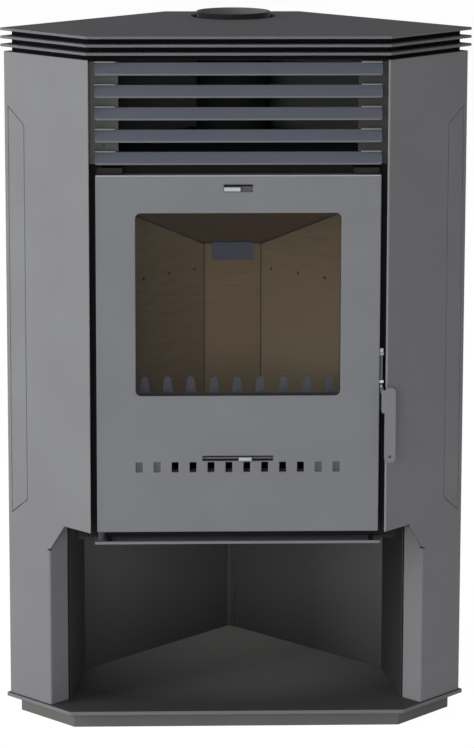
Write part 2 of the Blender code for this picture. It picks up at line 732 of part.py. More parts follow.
def firebox_floor():
    """Shelf, the two halves of the brick floor, and the slotted grate between them."""
    base_top = BED - BRICK - 2 * GAP
    sides = bed_outline(BOX_SIDE - GAP, BOX_INNER_SUM - GAP * ROOT2, BOX_INSIDE_FRONT, BOX_REAR - GAP)
    outline = sides + [(-x, y) for x, y in reversed(sides)]
    grate_rear = min(BRICK_REAR - GAP, BRICK_SUM - GRATE_WIDTH / 2 - 4 * GAP)
    inset = (grate_rear - BOX_INSIDE_FRONT) * (1 - ASH_HOLE_SHARE) / 2
    near, far = BOX_INSIDE_FRONT + inset, grate_rear - inset
    ash_hole = box_outline(-ASH_HOLE_WIDTH / 2, ASH_HOLE_WIDTH / 2, near, far)
    place = level(base_top - BOX_SHEET, BOX_SHEET)
    flat("firebox_shelf", [outline, ash_hole], BOX_SHEET, place, BOX_STEEL)

    bottom = base_top + GAP
    edge = GRATE_WIDTH / 2 + GAP
    brick = bed_outline(BRICK_SIDE - GAP, BRICK_SUM - GAP * ROOT2, BOX_INSIDE_FRONT, BRICK_REAR - GAP)
    half = [(edge, BOX_INSIDE_FRONT), *brick[:2], (edge, BRICK_SUM - GAP * ROOT2 - edge)]
    for sign in (1, -1):
        loop = mirrored(half, sign)
        flat("firebrick_base_" + side_name(sign), [loop], BRICK, level(bottom, BRICK), BRICK_STONE)

    slots = []
    pitch = (GRATE_WIDTH - GRATE_SLOT) / GRATE_SLOTS
    for i in range(GRATE_SLOTS):
        x = (i - (GRATE_SLOTS - 1) / 2) * pitch
        slots.append(rounded(
            x - GRATE_SLOT / 2, x + GRATE_SLOT / 2, near, far, GRATE_SLOT / 2.01, 2))
    outline = box_outline(-GRATE_WIDTH / 2, GRATE_WIDTH / 2, BOX_INSIDE_FRONT, grate_rear)
    flat("grate", [outline, *slots], GRATE_HEIGHT, level(bottom, GRATE_HEIGHT), CAST)


def below_baffle():
    """A cutter that fills all above the sloping underside of the baffle, less a shadow gap."""
    reach = WIDTH
    bm = bmesh.new()
    bmesh.ops.create_cube(bm, size=reach)
    turn = Matrix.Rotation(-BAFFLE_SLOPE, 4, "X")
    place = Matrix.Translation((0, BRICK_REAR, BAFFLE_REAR_LEVEL - BAFFLE_SHADOW))
    place = place @ turn @ Matrix.Translation((0, 0, reach / 2))
    return add("brick_slope_cut", mesh_from(bm, "brick_slope_cut"), None, STOVE, place)


def bricks():
    """Lining that stands on the shelf: a rear brick, two sloping ones with air holes, two side ones."""
    bottom = BED - BRICK - GAP
    half = REAR_BRICK_WIDTH / 2 - BRICK_JOINT
    top = BAFFLE_REAR_LEVEL - BAFFLE_BRACKET_SHEET - 3 * GAP
    rear = box_outline(-half, half, bottom, top)
    flat("firebrick_rear", [rear], BRICK, upright(BRICK_REAR, BRICK), BRICK_STONE)

    slope_cut = below_baffle()
    near = (BRICK_SIDE, BRICK_CORNER)
    far = (REAR_BRICK_WIDTH / 2, BRICK_REAR)
    length = hypot(near[0] - far[0], near[1] - far[1])
    peak = BAFFLE_REAR_LEVEL + length
    outline = box_outline(0, length, bottom, peak)
    holes_at = BED + AIR_HOLE_LEVEL * (BAFFLE_REAR_LEVEL - BED)
    for sign in (1, -1):
        start, end = (near, far) if sign > 0 else ((-far[0], far[1]), (-near[0], near[1]))
        holes = []
        for i in range(AIR_HOLES):
            run = (AIR_HOLE_FIRST + i * AIR_HOLE_PITCH) * length
            run = length - run if sign > 0 else run
            holes.append(circle(run, holes_at, AIR_HOLE, 10))
        place = along(start, end, BRICK)
        name = "firebrick_" + side_name(sign)
        brick = flat(name, [outline], BRICK, place, BRICK_STONE)
        carve(brick, slope_cut)
        carve(brick, flat(name + "_holes", holes, 1.2 * BRICK, place, None))

    side_top = BAFFLE_REAR_LEVEL + (BRICK_REAR - near[1]) * tan(BAFFLE_SLOPE)
    side = box_outline(0, near[1] - GAP - BOX_INSIDE_FRONT, bottom, side_top)
    for sign in (1, -1):
        x = sign * (BRICK_SIDE + (BRICK if sign < 0 else 0))
        place = along((x, BOX_INSIDE_FRONT), (x, near[1]), BRICK)
        flat("firebrick_side_" + side_name(sign), [side], BRICK, place, BRICK_STONE)


def baffle():
    """The sloping brick under the flue, and the bent steel ledge that holds its rear edge."""
    lap = BRICK / 2
    half_front = BRICK_SIDE - 2 * GAP
    wall_sum = BRICK_SUM + lap * ROOT2
    points = [
        (half_front, BAFFLE_FRONT), (half_front, wall_sum - half_front),
        (wall_sum - BRICK_REAR, BRICK_REAR),
    ]
    points += [(-x, y) for x, y in reversed(points)]
    sloped = [(x, (y - BRICK_REAR) / cos(BAFFLE_SLOPE)) for x, y in points]
    turn = Matrix.Rotation(-BAFFLE_SLOPE, 4, "X")
    place = Matrix.Translation((0, BRICK_REAR, BAFFLE_REAR_LEVEL)) @ turn
    place = place @ Matrix.Translation((0, 0, BAFFLE / 2))
    flat("baffle_plate", [sloped], BAFFLE, place, BRICK_STONE)

    sheet = BAFFLE_BRACKET_SHEET
    face = BRICK_REAR - GAP - sheet
    top = BAFFLE_REAR_LEVEL - 2 * GAP
    low = top - BAFFLE_BRACKET_HEIGHT
    profile = [
        (face, low), (face + sheet, low), (face + sheet, top - sheet),
        (BRICK_REAR + BRICK - 2 * GAP, top - sheet), (BRICK_REAR + BRICK - 2 * GAP, top), (face, top),
    ]
    half = BAFFLE_BRACKET_WIDTH / 2
    place = along((-half, 0), (-half, 1), BAFFLE_BRACKET_WIDTH)
    flat("baffle_bracket", [profile], BAFFLE_BRACKET_WIDTH, place, ZINC)


def log_retainer():
    """Upright cast comb behind the glass, with round-topped teeth."""
    bottom = BED + GAP
    root = bottom + RETAINER_HEIGHT
    tip = root + TOOTH_HEIGHT
    half = (TEETH - 1) / 2 * TOOTH_PITCH + TOOTH_WIDTH
    points = [(-half, bottom), (half, bottom), (half, root)]
    for i in reversed(range(TEETH)):
        x = (i - (TEETH - 1) / 2) * TOOTH_PITCH
        points.append((x + TOOTH_WIDTH / 2, root))
        points += arc(x, tip - TOOTH_TIP, TOOTH_TIP, 0, 180, 6)
        points.append((x - TOOTH_WIDTH / 2, root))
    points.append((-half, root))
    place = upright(RETAINER_DEPTH, RETAINER_THICKNESS)
    flat("log_retainer", [points], RETAINER_THICKNESS, place, CAST)


def ash_pan():
    """Open tray on the base, with a pull on its front."""
    z = BASE_TOP + GAP
    rear = ASH_FRONT + ASH_LENGTH
    half = ASH_WIDTH / 2
    tray = block("ash_pan", -half, half, ASH_FRONT, rear, z, z + ASH_HEIGHT, BOX_STEEL)
    hollow = block(
        "ash_hollow", ASH_WALL - half, half - ASH_WALL, ASH_FRONT + ASH_WALL, rear - ASH_WALL,
        z + ASH_WALL, z + 2 * ASH_HEIGHT, None)
    pull = block(
        "ash_pull", -ASH_PULL / 2, ASH_PULL / 2, BOX_FRONT + BOX_SHEET, ASH_FRONT + ASH_WALL / 2,
        z + ASH_HEIGHT - 2 * ASH_WALL, z + ASH_HEIGHT - ASH_WALL / 2, None)
    carve(tray, hollow)
    join(tray, pull)


def top_plates():
    """The lid of the casing, then plates and black spacer boards up to the flue collar."""
    inset = CASING_INSET + CHEEK_SHEET + 2 * GAP
    lid_front = BRACKET_SHEET + CHEEK_NOSE + CHEEK_RETURN + 0.01
    outline = plan(lid_front, inset, PANEL_INSET)
    hole = flue_circle(FLUE_HOLE)
    flat("casing_lid", [outline, hole], LID, level(CHEEK_TOP - LID, LID), BLACK)

    core = plan(CORE_INSET, CORE_INSET, CORE_INSET, REAR_CUT - GAP)
    undersides = (LOWER_UNDERSIDE, MIDDLE_UNDERSIDE, TOP_UNDERSIDE)
    below = CHEEK_TOP
    for word, underside in zip(("lower", "middle", "top"), undersides):
        thick = underside - below - 2 * GAP
        flat("spacer_" + word, [core, hole], thick, level(below + GAP, thick), BLACK)
        edge = plan(0, 0, 0, REAR_CUT)
        flat(word + "_plate", [edge, hole], PLATE, level(underside, PLATE), PLATE_PAINT)
        below = underside + PLATE


def flue_collar():
    """Turned spigot from the firebox top, through the plates, to the flue pipe's collar."""
    low = BOX_TOP + BOX_SHEET + GAP
    high = HEIGHT + FLUE_ABOVE_TOP
    bore = FLUE_RADIUS - FLUE_WALL
    profile = [
        (FLUE_RADIUS, high), (FLUE_RADIUS, low + FLUE_WALL),
        (FLUE_RADIUS + FLUE_FLANGE, low + FLUE_WALL), (FLUE_RADIUS + FLUE_FLANGE, low),
        (bore, low), (bore, high),
    ]
    bm = bmesh.new()
    ring = [bm.verts.new((r, 0, z)) for r, z in profile]
    for a, b in zip(ring, ring[1:] + ring[:1]):
        bm.edges.new((a, b))
    mesh = bpy.data.meshes.new("flue_collar")
    bm.to_mesh(mesh)
    bm.free()
    collar = add("flue_collar", mesh, BLACK, STOVE, Matrix.Translation((0, FLUE_DEPTH, 0)))
    turned = collar.modifiers.new("turned", "SCREW")
    turned.steps = turned.render_steps = 48
    turned.use_merge_vertices = True
    turned.merge_threshold = 0.00001


def louvre():
    """Pressed slats with round corners on two brackets that stand behind the cheeks' returns."""
    depth = CHEEK_NOSE + CHEEK_RETURN + GAP
    outer = CHEEK_EDGE + CHEEK_SHEET
    low = LOWEST_SLAT
    for sign in (1, -1):
        x0, x1 = sorted((sign * (outer - BRACKET_WIDTH), sign * outer))
        outline = box_outline(x0, x1, low, CHEEK_TOP - LID - 2 * GAP)
        place = upright(depth, BRACKET_SHEET)
        flat("louvre_bracket_" + side_name(sign), [outline], BRACKET_SHEET, place, SLAT_PAINT)

    back = depth - GAP - SLAT_SHEET
    spare = 2 * SLAT_SHEET
    for i in range(SLATS):
        top = SLAT_TOP - i * SLAT_PITCH
        bottom = top - SLAT_HEIGHT
        profile = [
            (SLAT_FRONT, bottom - spare), (SLAT_FRONT + SLAT_SHEET, bottom - spare),
            (SLAT_FRONT + SLAT_SHEET, bottom + SLAT_LIP - SLAT_SHEET / 2),
            (back + SLAT_SHEET, top - SLAT_SHEET / 2), (back + SLAT_SHEET, top + spare),
            (back, top + spare), (back, top), (SLAT_FRONT, bottom + SLAT_LIP),
        ]
        length = 2 * (SLAT_END + spare)
        place = along((-length / 2, 0), (-length / 2, 1), length)
        slat = flat(f"slat_{i + 1}", [profile], length, place, SLAT_PAINT)
        front = rounded(-SLAT_END, SLAT_END, bottom, top, SLAT_CORNER)
        deep = back + 2 * SLAT_SHEET
        blank = flat(f"slat_{i + 1}_front", [front], deep, upright(SLAT_FRONT - spare / 2, deep), None)
        join(slat, blank, "INTERSECT")


def hinge_brackets():
    """Blocks on the firebox front over the door. The left one holds the door's upper pin."""
    low = DOOR_TOP + 0.0016
    high = low + 0.009
    width = 0.039
    near = HINGE_DEPTH - HINGE_PIN
    for sign in (1, -1):
        x0, x1 = sorted((sign * (-HINGE_X + 1.3 * HINGE_PIN), sign * (-HINGE_X + 1.3 * HINGE_PIN - width)))
        name = "hinge_bracket_" + side_name(sign)
        bracket = block(name, x0, x1, near - 0.002, BOX_FRONT - GAP, low, high, ZINC)
        if sign < 0:
            foot = DOOR_TOP - 3 * DOOR_SHEET
            join(bracket, rod("upper_hinge_pin", HINGE_X, HINGE_DEPTH, foot, high + 0.002, HINGE_PIN, None))


def latch_catch():
    """Catch on the firebox front that the handle's tongue closes against."""
    x = HANDLE_X - HANDLE_PIN_GAP - 0.0042
    rear = BOX_FRONT - GAP
    z = NECK_TOP - NECK_HEIGHT / 2
    sheet = 0.0015
    catch = block("latch_catch", x - 0.006, x + 0.005, rear - sheet, rear, z - 0.020, z + 0.020, ZINC)
    reach = rear - LINER_REAR - 3 * GAP
    for end in (-1, 1):
        middle = z + end * 0.011
        ear = block(
            f"catch_ear_{end + 1}", x - 0.004, x + 0.004, rear - reach, rear - sheet / 2,
            middle - sheet, middle + sheet, None)
        join(catch, ear)
    join(catch, rod("catch_roller", x, rear - reach / 2 - sheet / 2, z - 0.011, z + 0.011, 0.0022, None))


def centred_row(count, pitch, width, bottom, height):
    """Outlines of a row of upright windows about the middle."""
    starts = [(i - (count - 1) / 2) * pitch - width / 2 for i in range(count)]
    return [box_outline(x, x + width, bottom, bottom + height) for x in starts]


def rail(name, half, low, high, lip_low, lip_high):
    """A Z-shaped guide for a slider, as one solid to be welded to the back of the door's face."""
    back = DOOR_FRONT + DOOR_SHEET
    behind = SLIDER_DEPTH + SLIDER_SHEET + GAP
    foot = block(name, -half, half, back - GAP, behind + SLIDER_SHEET, low, high, None, DOOR_PIVOT)
    lip = block(
        name + "_lip", -half, half, behind, behind + SLIDER_SHEET, lip_low, lip_high, None, DOOR_PIVOT)
    return join(foot, lip)


def guides(door, bottom, height, half, word):
    """The two guides above and below one slider."""
    lower = rail(
        word + "_lower_rail", half, bottom - GAP - RAIL_WIDTH, bottom - GAP,
        bottom - 2 * GAP, bottom + RAIL_LAP)
    top = bottom + height
    upper = rail(
        word + "_upper_rail", half, top + GAP, top + GAP + RAIL_WIDTH,
        top - RAIL_LAP, top + 2 * GAP)
    join(door, lower)
    join(door, upper)


LOWER_SLOT = WINDOW_SILL - LOWER_SLOT_BELOW_WINDOW - LOWER_SLOT_HEIGHT
HOLE_ROW = WINDOW_SILL - HOLES_BELOW_WINDOW - HOLE_HEIGHT
UPPER_SLOT = WINDOW_CEILING + UPPER_SLOT_ABOVE_WINDOW
LOWER_SLIDER = HOLE_ROW - RAIL_LAP - 4 * GAP
LOWER_SLIDER_HEIGHT = LOWER_SLOT + LOWER_SLOT_HEIGHT + RAIL_LAP - LOWER_SLIDER
UPPER_SLIDER_HEIGHT = UPPER_SLOT_HEIGHT + 2 * RAIL_LAP + 8 * GAP
UPPER_SLIDER = UPPER_SLOT - RAIL_LAP - 4 * GAP


def door_face():
    """The door's face: a pan of folded sheet with window, slots, air holes, guides and pin lugs."""
    edge, low, high = DOOR_EDGE, DOOR_BOTTOM, DOOR_TOP
    face = rounded(-edge, edge, low, high, BEND / 2, 2)
    window = rounded(
        WINDOW_SIDE - edge, edge - WINDOW_SIDE, WINDOW_SILL, WINDOW_CEILING, WINDOW_RADIUS)
    half = LOWER_SLOT_WIDTH / 2
    lower = box_outline(-half, half, LOWER_SLOT, LOWER_SLOT + LOWER_SLOT_HEIGHT)
    half = UPPER_SLOT_WIDTH / 2
    upper = box_outline(-half, half, UPPER_SLOT, UPPER_SLOT + UPPER_SLOT_HEIGHT)
    holes = centred_row(HOLES, HOLE_PITCH, HOLE_WIDTH, HOLE_ROW, HOLE_HEIGHT)
    door = flat("door_face", [face], DOOR_SHEET, upright(DOOR_FRONT, DOOR_SHEET), PAINT, DOOR_PIVOT)

    inner = rounded(
        DOOR_SHEET - edge, edge - DOOR_SHEET, low + DOOR_SHEET, high - DOOR_SHEET, BEND / 4, 2)
    deep = DOOR_THICKNESS - GAP
    rim = flat("door_rim", [face, inner], deep, upright(DOOR_FRONT + GAP, deep), None, DOOR_PIVOT)
    join(door, rim)
    for word, z in (("upper", high), ("lower", low)):
        bore = rod(
            word + "_pin_bore", HINGE_X, HINGE_DEPTH, z - 2 * DOOR_SHEET, z + 2 * DOOR_SHEET,
            HINGE_PIN + 2 * GAP, None, DOOR_PIVOT)
        carve(door, bore)

    guides(door, LOWER_SLIDER, LOWER_SLIDER_HEIGHT, HOLE_PITCH * (HOLES - 1) / 2, "primary")
    guides(door, UPPER_SLIDER, UPPER_SLIDER_HEIGHT, 2 * UPPER_SLOT_WIDTH, "airwash")

    lug = 0.004
    reach = HANDLE_X + 1.6 * HANDLE_PIN
    for word, z in (("low", NECK_TOP + 0.008), ("high", PIN_TOP - PIN_HEAD_HEIGHT - lug - GAP)):
        ear = block(
            word + "_lug", edge - DOOR_SHEET / 2, reach, HANDLE_DEPTH - 1.9 * HANDLE_PIN,
            HANDLE_DEPTH + 1.9 * HANDLE_PIN, z, z + lug, None, DOOR_PIVOT)
        join(door, ear)
        carve(door, rod(
            word + "_lug_bore", HANDLE_X, HANDLE_DEPTH, z - lug, z + 2 * lug, HANDLE_PIN + GAP,
            None, DOOR_PIVOT, 12))

    through = DOOR_SHEET + 2 * GAP
    place = upright(DOOR_FRONT - GAP, through)
    loops = [window, lower, upper, *holes]
    carve(door, flat("door_openings", loops, through, place, None, DOOR_PIVOT))


def slider(name, x0, x1, bottom, height, tab_x, tab_width, slot, tab_top, windows):
    """Air shutter behind the door's face, with a bent tab that reaches out through its slot."""
    tab_z = slot + tab_top - TAB_THICKNESS
    outline = box_outline(x0, x1, bottom, bottom + height)
    place = upright(SLIDER_DEPTH, SLIDER_SHEET)
    plate = flat(name, [outline, *windows], SLIDER_SHEET, place, ZINC, DOOR_PIVOT)
    tab = block(
        name + "_tab", tab_x - tab_width / 2, tab_x + tab_width / 2, DOOR_FRONT - TAB_REACH,
        SLIDER_DEPTH + SLIDER_SHEET / 2, tab_z, tab_z + TAB_THICKNESS, None, DOOR_PIVOT)
    join(plate, tab)
    drop = block(
        name + "_grip", tab_x - tab_width / 2, tab_x + tab_width / 2, DOOR_FRONT - TAB_REACH,
        DOOR_FRONT - TAB_REACH + TAB_THICKNESS, slot + TAB_FOOT, tab_z + TAB_THICKNESS / 2,
        None, DOOR_PIVOT)
    join(plate, drop)


def sliders():
    """Airwash slider over the window and primary slider under it."""
    end = UPPER_SLOT_WIDTH / 2
    tab_x = -end + UPPER_TAB_WIDTH / 2 + GAP
    low, high = UPPER_SLOT + UPPER_TAB_TOP + GAP, UPPER_SLOT + UPPER_SLOT_HEIGHT + 3 * GAP
    window = box_outline(RAIL_LAP - 2 * end, 2 * end - RAIL_LAP, low, high)
    slider(
        "upper_air_slider", -2 * end, 2 * end, UPPER_SLIDER, UPPER_SLIDER_HEIGHT, tab_x,
        UPPER_TAB_WIDTH, UPPER_SLOT, UPPER_TAB_TOP, [window])
    reach = DOOR_EDGE - DOOR_SHEET - GAP
    left = reach - LOWER_SLOT_WIDTH / 2 - LOWER_TAB_CENTRE + LOWER_TAB_WIDTH / 2
    right = reach - LOWER_SLOT_WIDTH / 2 + LOWER_TAB_CENTRE + LOWER_TAB_WIDTH / 2
    windows = centred_row(LOWER_WINDOWS, HOLE_PITCH, HOLE_WIDTH, HOLE_ROW, HOLE_HEIGHT)
    low, high = LOWER_SLOT + LOWER_TAB_TOP + GAP, LOWER_SLOT + LOWER_SLOT_HEIGHT + 3 * GAP
    windows.append(box_outline(-LOWER_WINDOW_LEFT, LOWER_SLOT_WIDTH, low, high))
    slider(
        "lower_air_slider", -left, right, LOWER_SLIDER, LOWER_SLIDER_HEIGHT, LOWER_TAB_CENTRE,
        LOWER_TAB_WIDTH, LOWER_SLOT, LOWER_TAB_TOP, windows)


def glazing():
    """Ceramic glass, the two Z-section strips that hold it, the door's liner and its rope seal."""
    half = DOOR_EDGE - WINDOW_SIDE + GLASS_LAP
    low, high = WINDOW_SILL - GLASS_LAP, WINDOW_CEILING + GLASS_LAP
    depth = DOOR_FRONT + DOOR_SHEET + GAP
    outline = box_outline(-half, half, low, high)
    flat("glass_pane", [outline], GLASS, upright(depth, GLASS), GLASS_CLEAR, DOOR_PIVOT)
    lip = depth + GLASS + GAP
    back = lip + RETAINER_SHEET
    inner = half - GLASS_LAP + 0.002
    for sign in (1, -1):
        section = [
            (half + GAP, depth), (inner + RETAINER_WIDTH, depth), (inner + RETAINER_WIDTH, back),
            (inner, back), (inner, lip), (half + GAP, lip),
        ]
        loop = mirrored(section, sign)
        place = level(low, high - low)
        flat("glass_retainer_" + side_name(sign), [loop], high - low, place, BOX_STEEL, DOOR_PIVOT)

    edge = DOOR_EDGE - DOOR_SHEET - GAP
    low, high = DOOR_BOTTOM + DOOR_SHEET + GAP, DOOR_TOP - DOOR_SHEET - GAP
    outer = rounded(-edge, edge, low, high, BEND / 4, 2)
    view = box_outline(
        WINDOW_SIDE - DOOR_EDGE, DOOR_EDGE - WINDOW_SIDE, WINDOW_SILL, WINDOW_CEILING)
    half = (HOLE_PITCH * (HOLES - 1) + HOLE_WIDTH) / 2
    vent = box_outline(-half, half, HOLE_ROW, HOLE_ROW + HOLE_HEIGHT)
    place = upright(LINER_REAR - LINER_SHEET, LINER_SHEET)
    flat("door_liner", [outer, view, vent], LINER_SHEET, place, BOX_STEEL, DOOR_PIVOT)

    inset = SEAL_INSET
    path = rounded(
        inset - DOOR_EDGE, DOOR_EDGE - inset, DOOR_BOTTOM + inset, DOOR_TOP - inset, 4 * SEAL, 4)
    rope = bpy.data.curves.new("door_seal", "CURVE")
    rope.dimensions = "3D"
    rope.bevel_depth = SEAL / 2
    rope.bevel_resolution = 1
    spline = rope.splines.new("POLY")
    spline.points.add(len(path) - 1)
    for point, (x, z) in zip(spline.points, path):
        point.co = (x, LINER_REAR + GAP + SEAL / 2, z, 1)
    spline.use_cyclic_u = True
    add("door_seal", rope, ROPE, DOOR_PIVOT)


def handle():
    """Cut and folded handle: a bar in front, a neck, a tongue into the gap, and its pivot pin."""
    left = HANDLE_X + GAP
    bar_left = left + HANDLE_SHEET + 2 * GAP
    bar = rounded(
        bar_left, bar_left + HANDLE_WIDTH, HANDLE_LOW, HANDLE_LOW + HANDLE_HEIGHT, HANDLE_WIDTH / 2.2)
    hole = circle(bar_left + HANDLE_WIDTH / 2, HANDLE_LOW + HANDLE_HOLE_UP, HANDLE_HOLE, 12)
    place = upright(HANDLE_FACE, HANDLE_SHEET)
    grip = flat("handle", [bar, hole], HANDLE_SHEET, place, PAINT, HANDLE_PIVOT)
    neck_low = NECK_TOP - NECK_HEIGHT
    neck = block(
        "neck", left, bar_left + HANDLE_SHEET, HANDLE_FACE, HANDLE_FACE + HANDLE_SHEET, neck_low,
        NECK_TOP, None, HANDLE_PIVOT)
    tongue = block(
        "tongue", left, left + HANDLE_SHEET, HANDLE_FACE + GAP, TONGUE_END, neck_low, NECK_TOP,
        None, HANDLE_PIVOT)
    pin = rod(
        "pivot_pin", HANDLE_X, HANDLE_DEPTH, NECK_TOP - NECK_HEIGHT / 4, PIN_TOP, HANDLE_PIN, None,
        HANDLE_PIVOT)
    head = rod(
        "pin_head", HANDLE_X, HANDLE_DEPTH, PIN_TOP - PIN_HEAD_HEIGHT, PIN_TOP, PIN_HEAD, None,
        HANDLE_PIVOT)
    for piece in (neck, tongue, pin, head):
        join(grip, piece)


plinth_and_floor()
for hand in (-1, 1):
    cheek(hand)
    log_store_side(hand)
rear_panels()
body_base()
firebox_walls()
firebox_floor()
bricks()
baffle()
log_retainer()
ash_pan()
top_plates()
flue_collar()
louvre()
hinge_brackets()
latch_catch()
door_face()
sliders()
glazing()
handle()
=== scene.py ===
"""Looks of the corner stove: materials for its CAD nodes, small fasteners, floor, light and camera."""

import json
from math import cos, pi, radians, sin

import bmesh
import bpy
from mathutils import Matrix, Vector

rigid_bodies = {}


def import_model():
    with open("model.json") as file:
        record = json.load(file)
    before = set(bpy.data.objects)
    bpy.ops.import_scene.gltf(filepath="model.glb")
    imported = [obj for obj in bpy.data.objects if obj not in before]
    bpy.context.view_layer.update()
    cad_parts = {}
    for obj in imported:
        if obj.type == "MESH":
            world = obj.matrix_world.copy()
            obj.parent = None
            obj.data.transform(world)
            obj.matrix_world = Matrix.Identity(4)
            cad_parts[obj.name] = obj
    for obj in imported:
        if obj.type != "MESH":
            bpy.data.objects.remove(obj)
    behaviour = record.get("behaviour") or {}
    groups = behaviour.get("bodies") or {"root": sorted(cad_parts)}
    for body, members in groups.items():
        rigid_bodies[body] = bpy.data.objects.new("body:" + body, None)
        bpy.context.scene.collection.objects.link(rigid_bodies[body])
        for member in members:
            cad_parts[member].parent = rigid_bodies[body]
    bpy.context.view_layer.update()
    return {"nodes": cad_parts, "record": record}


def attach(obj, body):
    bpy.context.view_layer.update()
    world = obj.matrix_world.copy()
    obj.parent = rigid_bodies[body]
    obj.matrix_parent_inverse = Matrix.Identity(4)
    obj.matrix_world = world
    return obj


for old in list(bpy.data.objects):
    bpy.data.objects.remove(old)

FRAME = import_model()
NODES = FRAME["nodes"]
MM = 0.001


def corners(name):
    """Lowest and highest corner of a CAD node's box, in the row frame."""
    points = [vertex.co for vertex in NODES[name].data.vertices]
    return [Vector([pick(point[axis] for point in points) for axis in range(3)]) for pick in (min, max)]


# Places taken from the part, in metres in the row frame. The door looks along -Y
CHEEK_EDGE, CHEEK_NOSE, _ = corners("cheek_right")[0]
DOOR_FACE = corners("door_face")[0].y
DOOR_TOP = corners("door_face")[1].z
DOOR_EDGE = CHEEK_EDGE - 9.8 * MM
DOOR_BACK = corners("door_liner")[1].y
JOINT_PLACES = {joint["name"]: joint.get("pos_m") for joint in FRAME["record"]["behaviour"]["joints"]}
HINGE_AXIS = JOINT_PLACES["door_hinge"]
PIN_AXIS = JOINT_PLACES["handle_pivot"]
PIN_TOP = corners("handle")[1].z
PIN_FOOT = PIN_TOP - 61.4 * MM
LOW_LUG = PIN_TOP - 53.5 * MM
HIGH_LUG = PIN_TOP - 10.3 * MM
LUG_HEIGHT = 4 * MM
LIP_FACE = corners("body_base")[0].y
LIP_END = CHEEK_EDGE - 5.8 * MM
BASE_TOP = 0.3133  # upper face of the plate under the firebox
SLATS = 5
SLAT_TOP = corners("slat_1")[1].z
SLAT_BOTTOM = corners("slat_5")[0].z
SLAT_PITCH = (SLAT_TOP - corners("slat_5")[1].z) / (SLATS - 1)
BRACKET_FACE = corners("louvre_bracket_left")[0].y
CATCH_PLATE = corners("latch_catch")[1].y - 1.5 * MM
LID_TOP = corners("casing_lid")[1].z
LAP_SUM = 0.25226  # x plus y on the outer faces of the laps at the rear
FLOOR_TOP = corners("floor_plate")[1].z
LOG_STORE_TOP = 0.30
FIRE_BED = 0.50
REAR_CORNER = corners("rear_panel_left")[1].y
COLLAR_AXIS = sum(corners("flue_collar"), Vector()) / 2
COLLAR_WALL = 57.5 * MM  # radius halfway through it
FAR = 2.0  # past the stove on any side


def linear(code):
    """A colour written as RRGGBB, as linear RGBA."""
    values = [int(code[i : i + 2], 16) / 255 for i in (0, 2, 4)]
    return [v / 12.92 if v <= 0.04045 else ((v + 0.055) / 1.055) ** 2.4 for v in values] + [1]


def principled(name, code, roughness, metallic=0.0, **more):
    """A new material with the constants set on its Principled sockets."""
    material = bpy.data.materials.new(name)
    material.use_nodes = True
    shader = material.node_tree.nodes["Principled BSDF"]
    values = {"Base Color": linear(code), "Roughness": roughness, "Metallic": metallic}
    for socket, value in values.items():
        shader.inputs[socket].default_value = value
    for word, value in more.items():
        shader.inputs[word.replace("_", " ")].default_value = value
    return material


def node(material, kind, links=(), **settings):
    """Adds a node. A setting is a socket or a property. A link is (socket, node, its output)."""
    tree = material.node_tree
    made = tree.nodes.new("ShaderNode" + kind)
    for name, value in settings.items():
        socket = made.inputs.get(name.replace("_", " "))
        if socket is not None:
            socket.default_value = value
        else:
            setattr(made, name, value)
    for socket, source, output in links:
        tree.links.new(source.outputs[output], made.inputs[socket])
    return made


def plug(material, socket, source):
    """Feeds one socket of the material's shader from a node's first output."""
    shader = material.node_tree.nodes["Principled BSDF"]
    material.node_tree.links.new(source.outputs[0], shader.inputs[socket])


def grain(material, codes, size, patch, relief, spread, stretch=(1, 1, 1), edge=0.8 * MM):
    """Surface of grains this size in metres, which lie in patches of two colours.

    Roughness goes up and down by the spread, the grain's relief is in metres, and edges are shaded as if
    rounded to the radius called edge.
    """
    coord = node(material, "TexCoord")
    space = node(material, "Mapping", [("Vector", coord, "Object")], Scale=stretch)
    fine = node(material, "TexNoise", [("Vector", space, 0)], Scale=1 / size, Detail=3.0)
    broad = node(material, "TexNoise", [("Vector", space, 0)], Scale=1 / patch, Detail=2.0)
    mixed = node(material, "Mix", data_type="FLOAT")
    mixed.inputs[0].default_value = 0.5
    tree = material.node_tree
    tree.links.new(fine.outputs[0], mixed.inputs[2])
    tree.links.new(broad.outputs[0], mixed.inputs[3])
    ramp = node(material, "ValToRGB", [("Fac", mixed, 0)])
    for stop, place, code in zip(ramp.color_ramp.elements, (0.38, 0.62), codes):
        stop.position = place
        stop.color = linear(code)
    plug(material, "Base Color", ramp)
    base = tree.nodes["Principled BSDF"].inputs["Roughness"].default_value
    rough = node(
        material, "MapRange", [("Value", mixed, 0)], From_Min=0.3, From_Max=0.7,
        To_Min=base - spread, To_Max=base + spread)
    plug(material, "Roughness", rough)
    soft = node(material, "Bevel", Radius=edge, samples=4)
    bump = node(
        material, "Bump", [("Height", fine, 0), ("Normal", soft, 0)], Distance=relief, Strength=1.0)
    plug(material, "Normal", bump)


def recolour(material, mask, code):
    """A second colour where the mask is one."""
    tree = material.node_tree
    shader = tree.nodes["Principled BSDF"]
    first = shader.inputs["Base Color"].links[0].from_socket
    mix = node(material, "Mix", data_type="RGBA")
    tree.links.new(mask.outputs[0], mix.inputs[0])
    tree.links.new(first, mix.inputs[6])
    mix.inputs[7].default_value = linear(code)
    tree.links.new(mix.outputs[2], shader.inputs["Base Color"])


def crevice_shade(material, reach, code):
    """Painted shade: a darker colour in joints and corners narrower than this reach in metres."""
    open_air = node(material, "AmbientOcclusion", Distance=reach, samples=8)
    shade = node(
        material, "MapRange", [("Value", open_air, "AO")], From_Min=0.25, From_Max=0.75,
        To_Min=1.0, To_Max=0.0)
    recolour(material, shade, code)


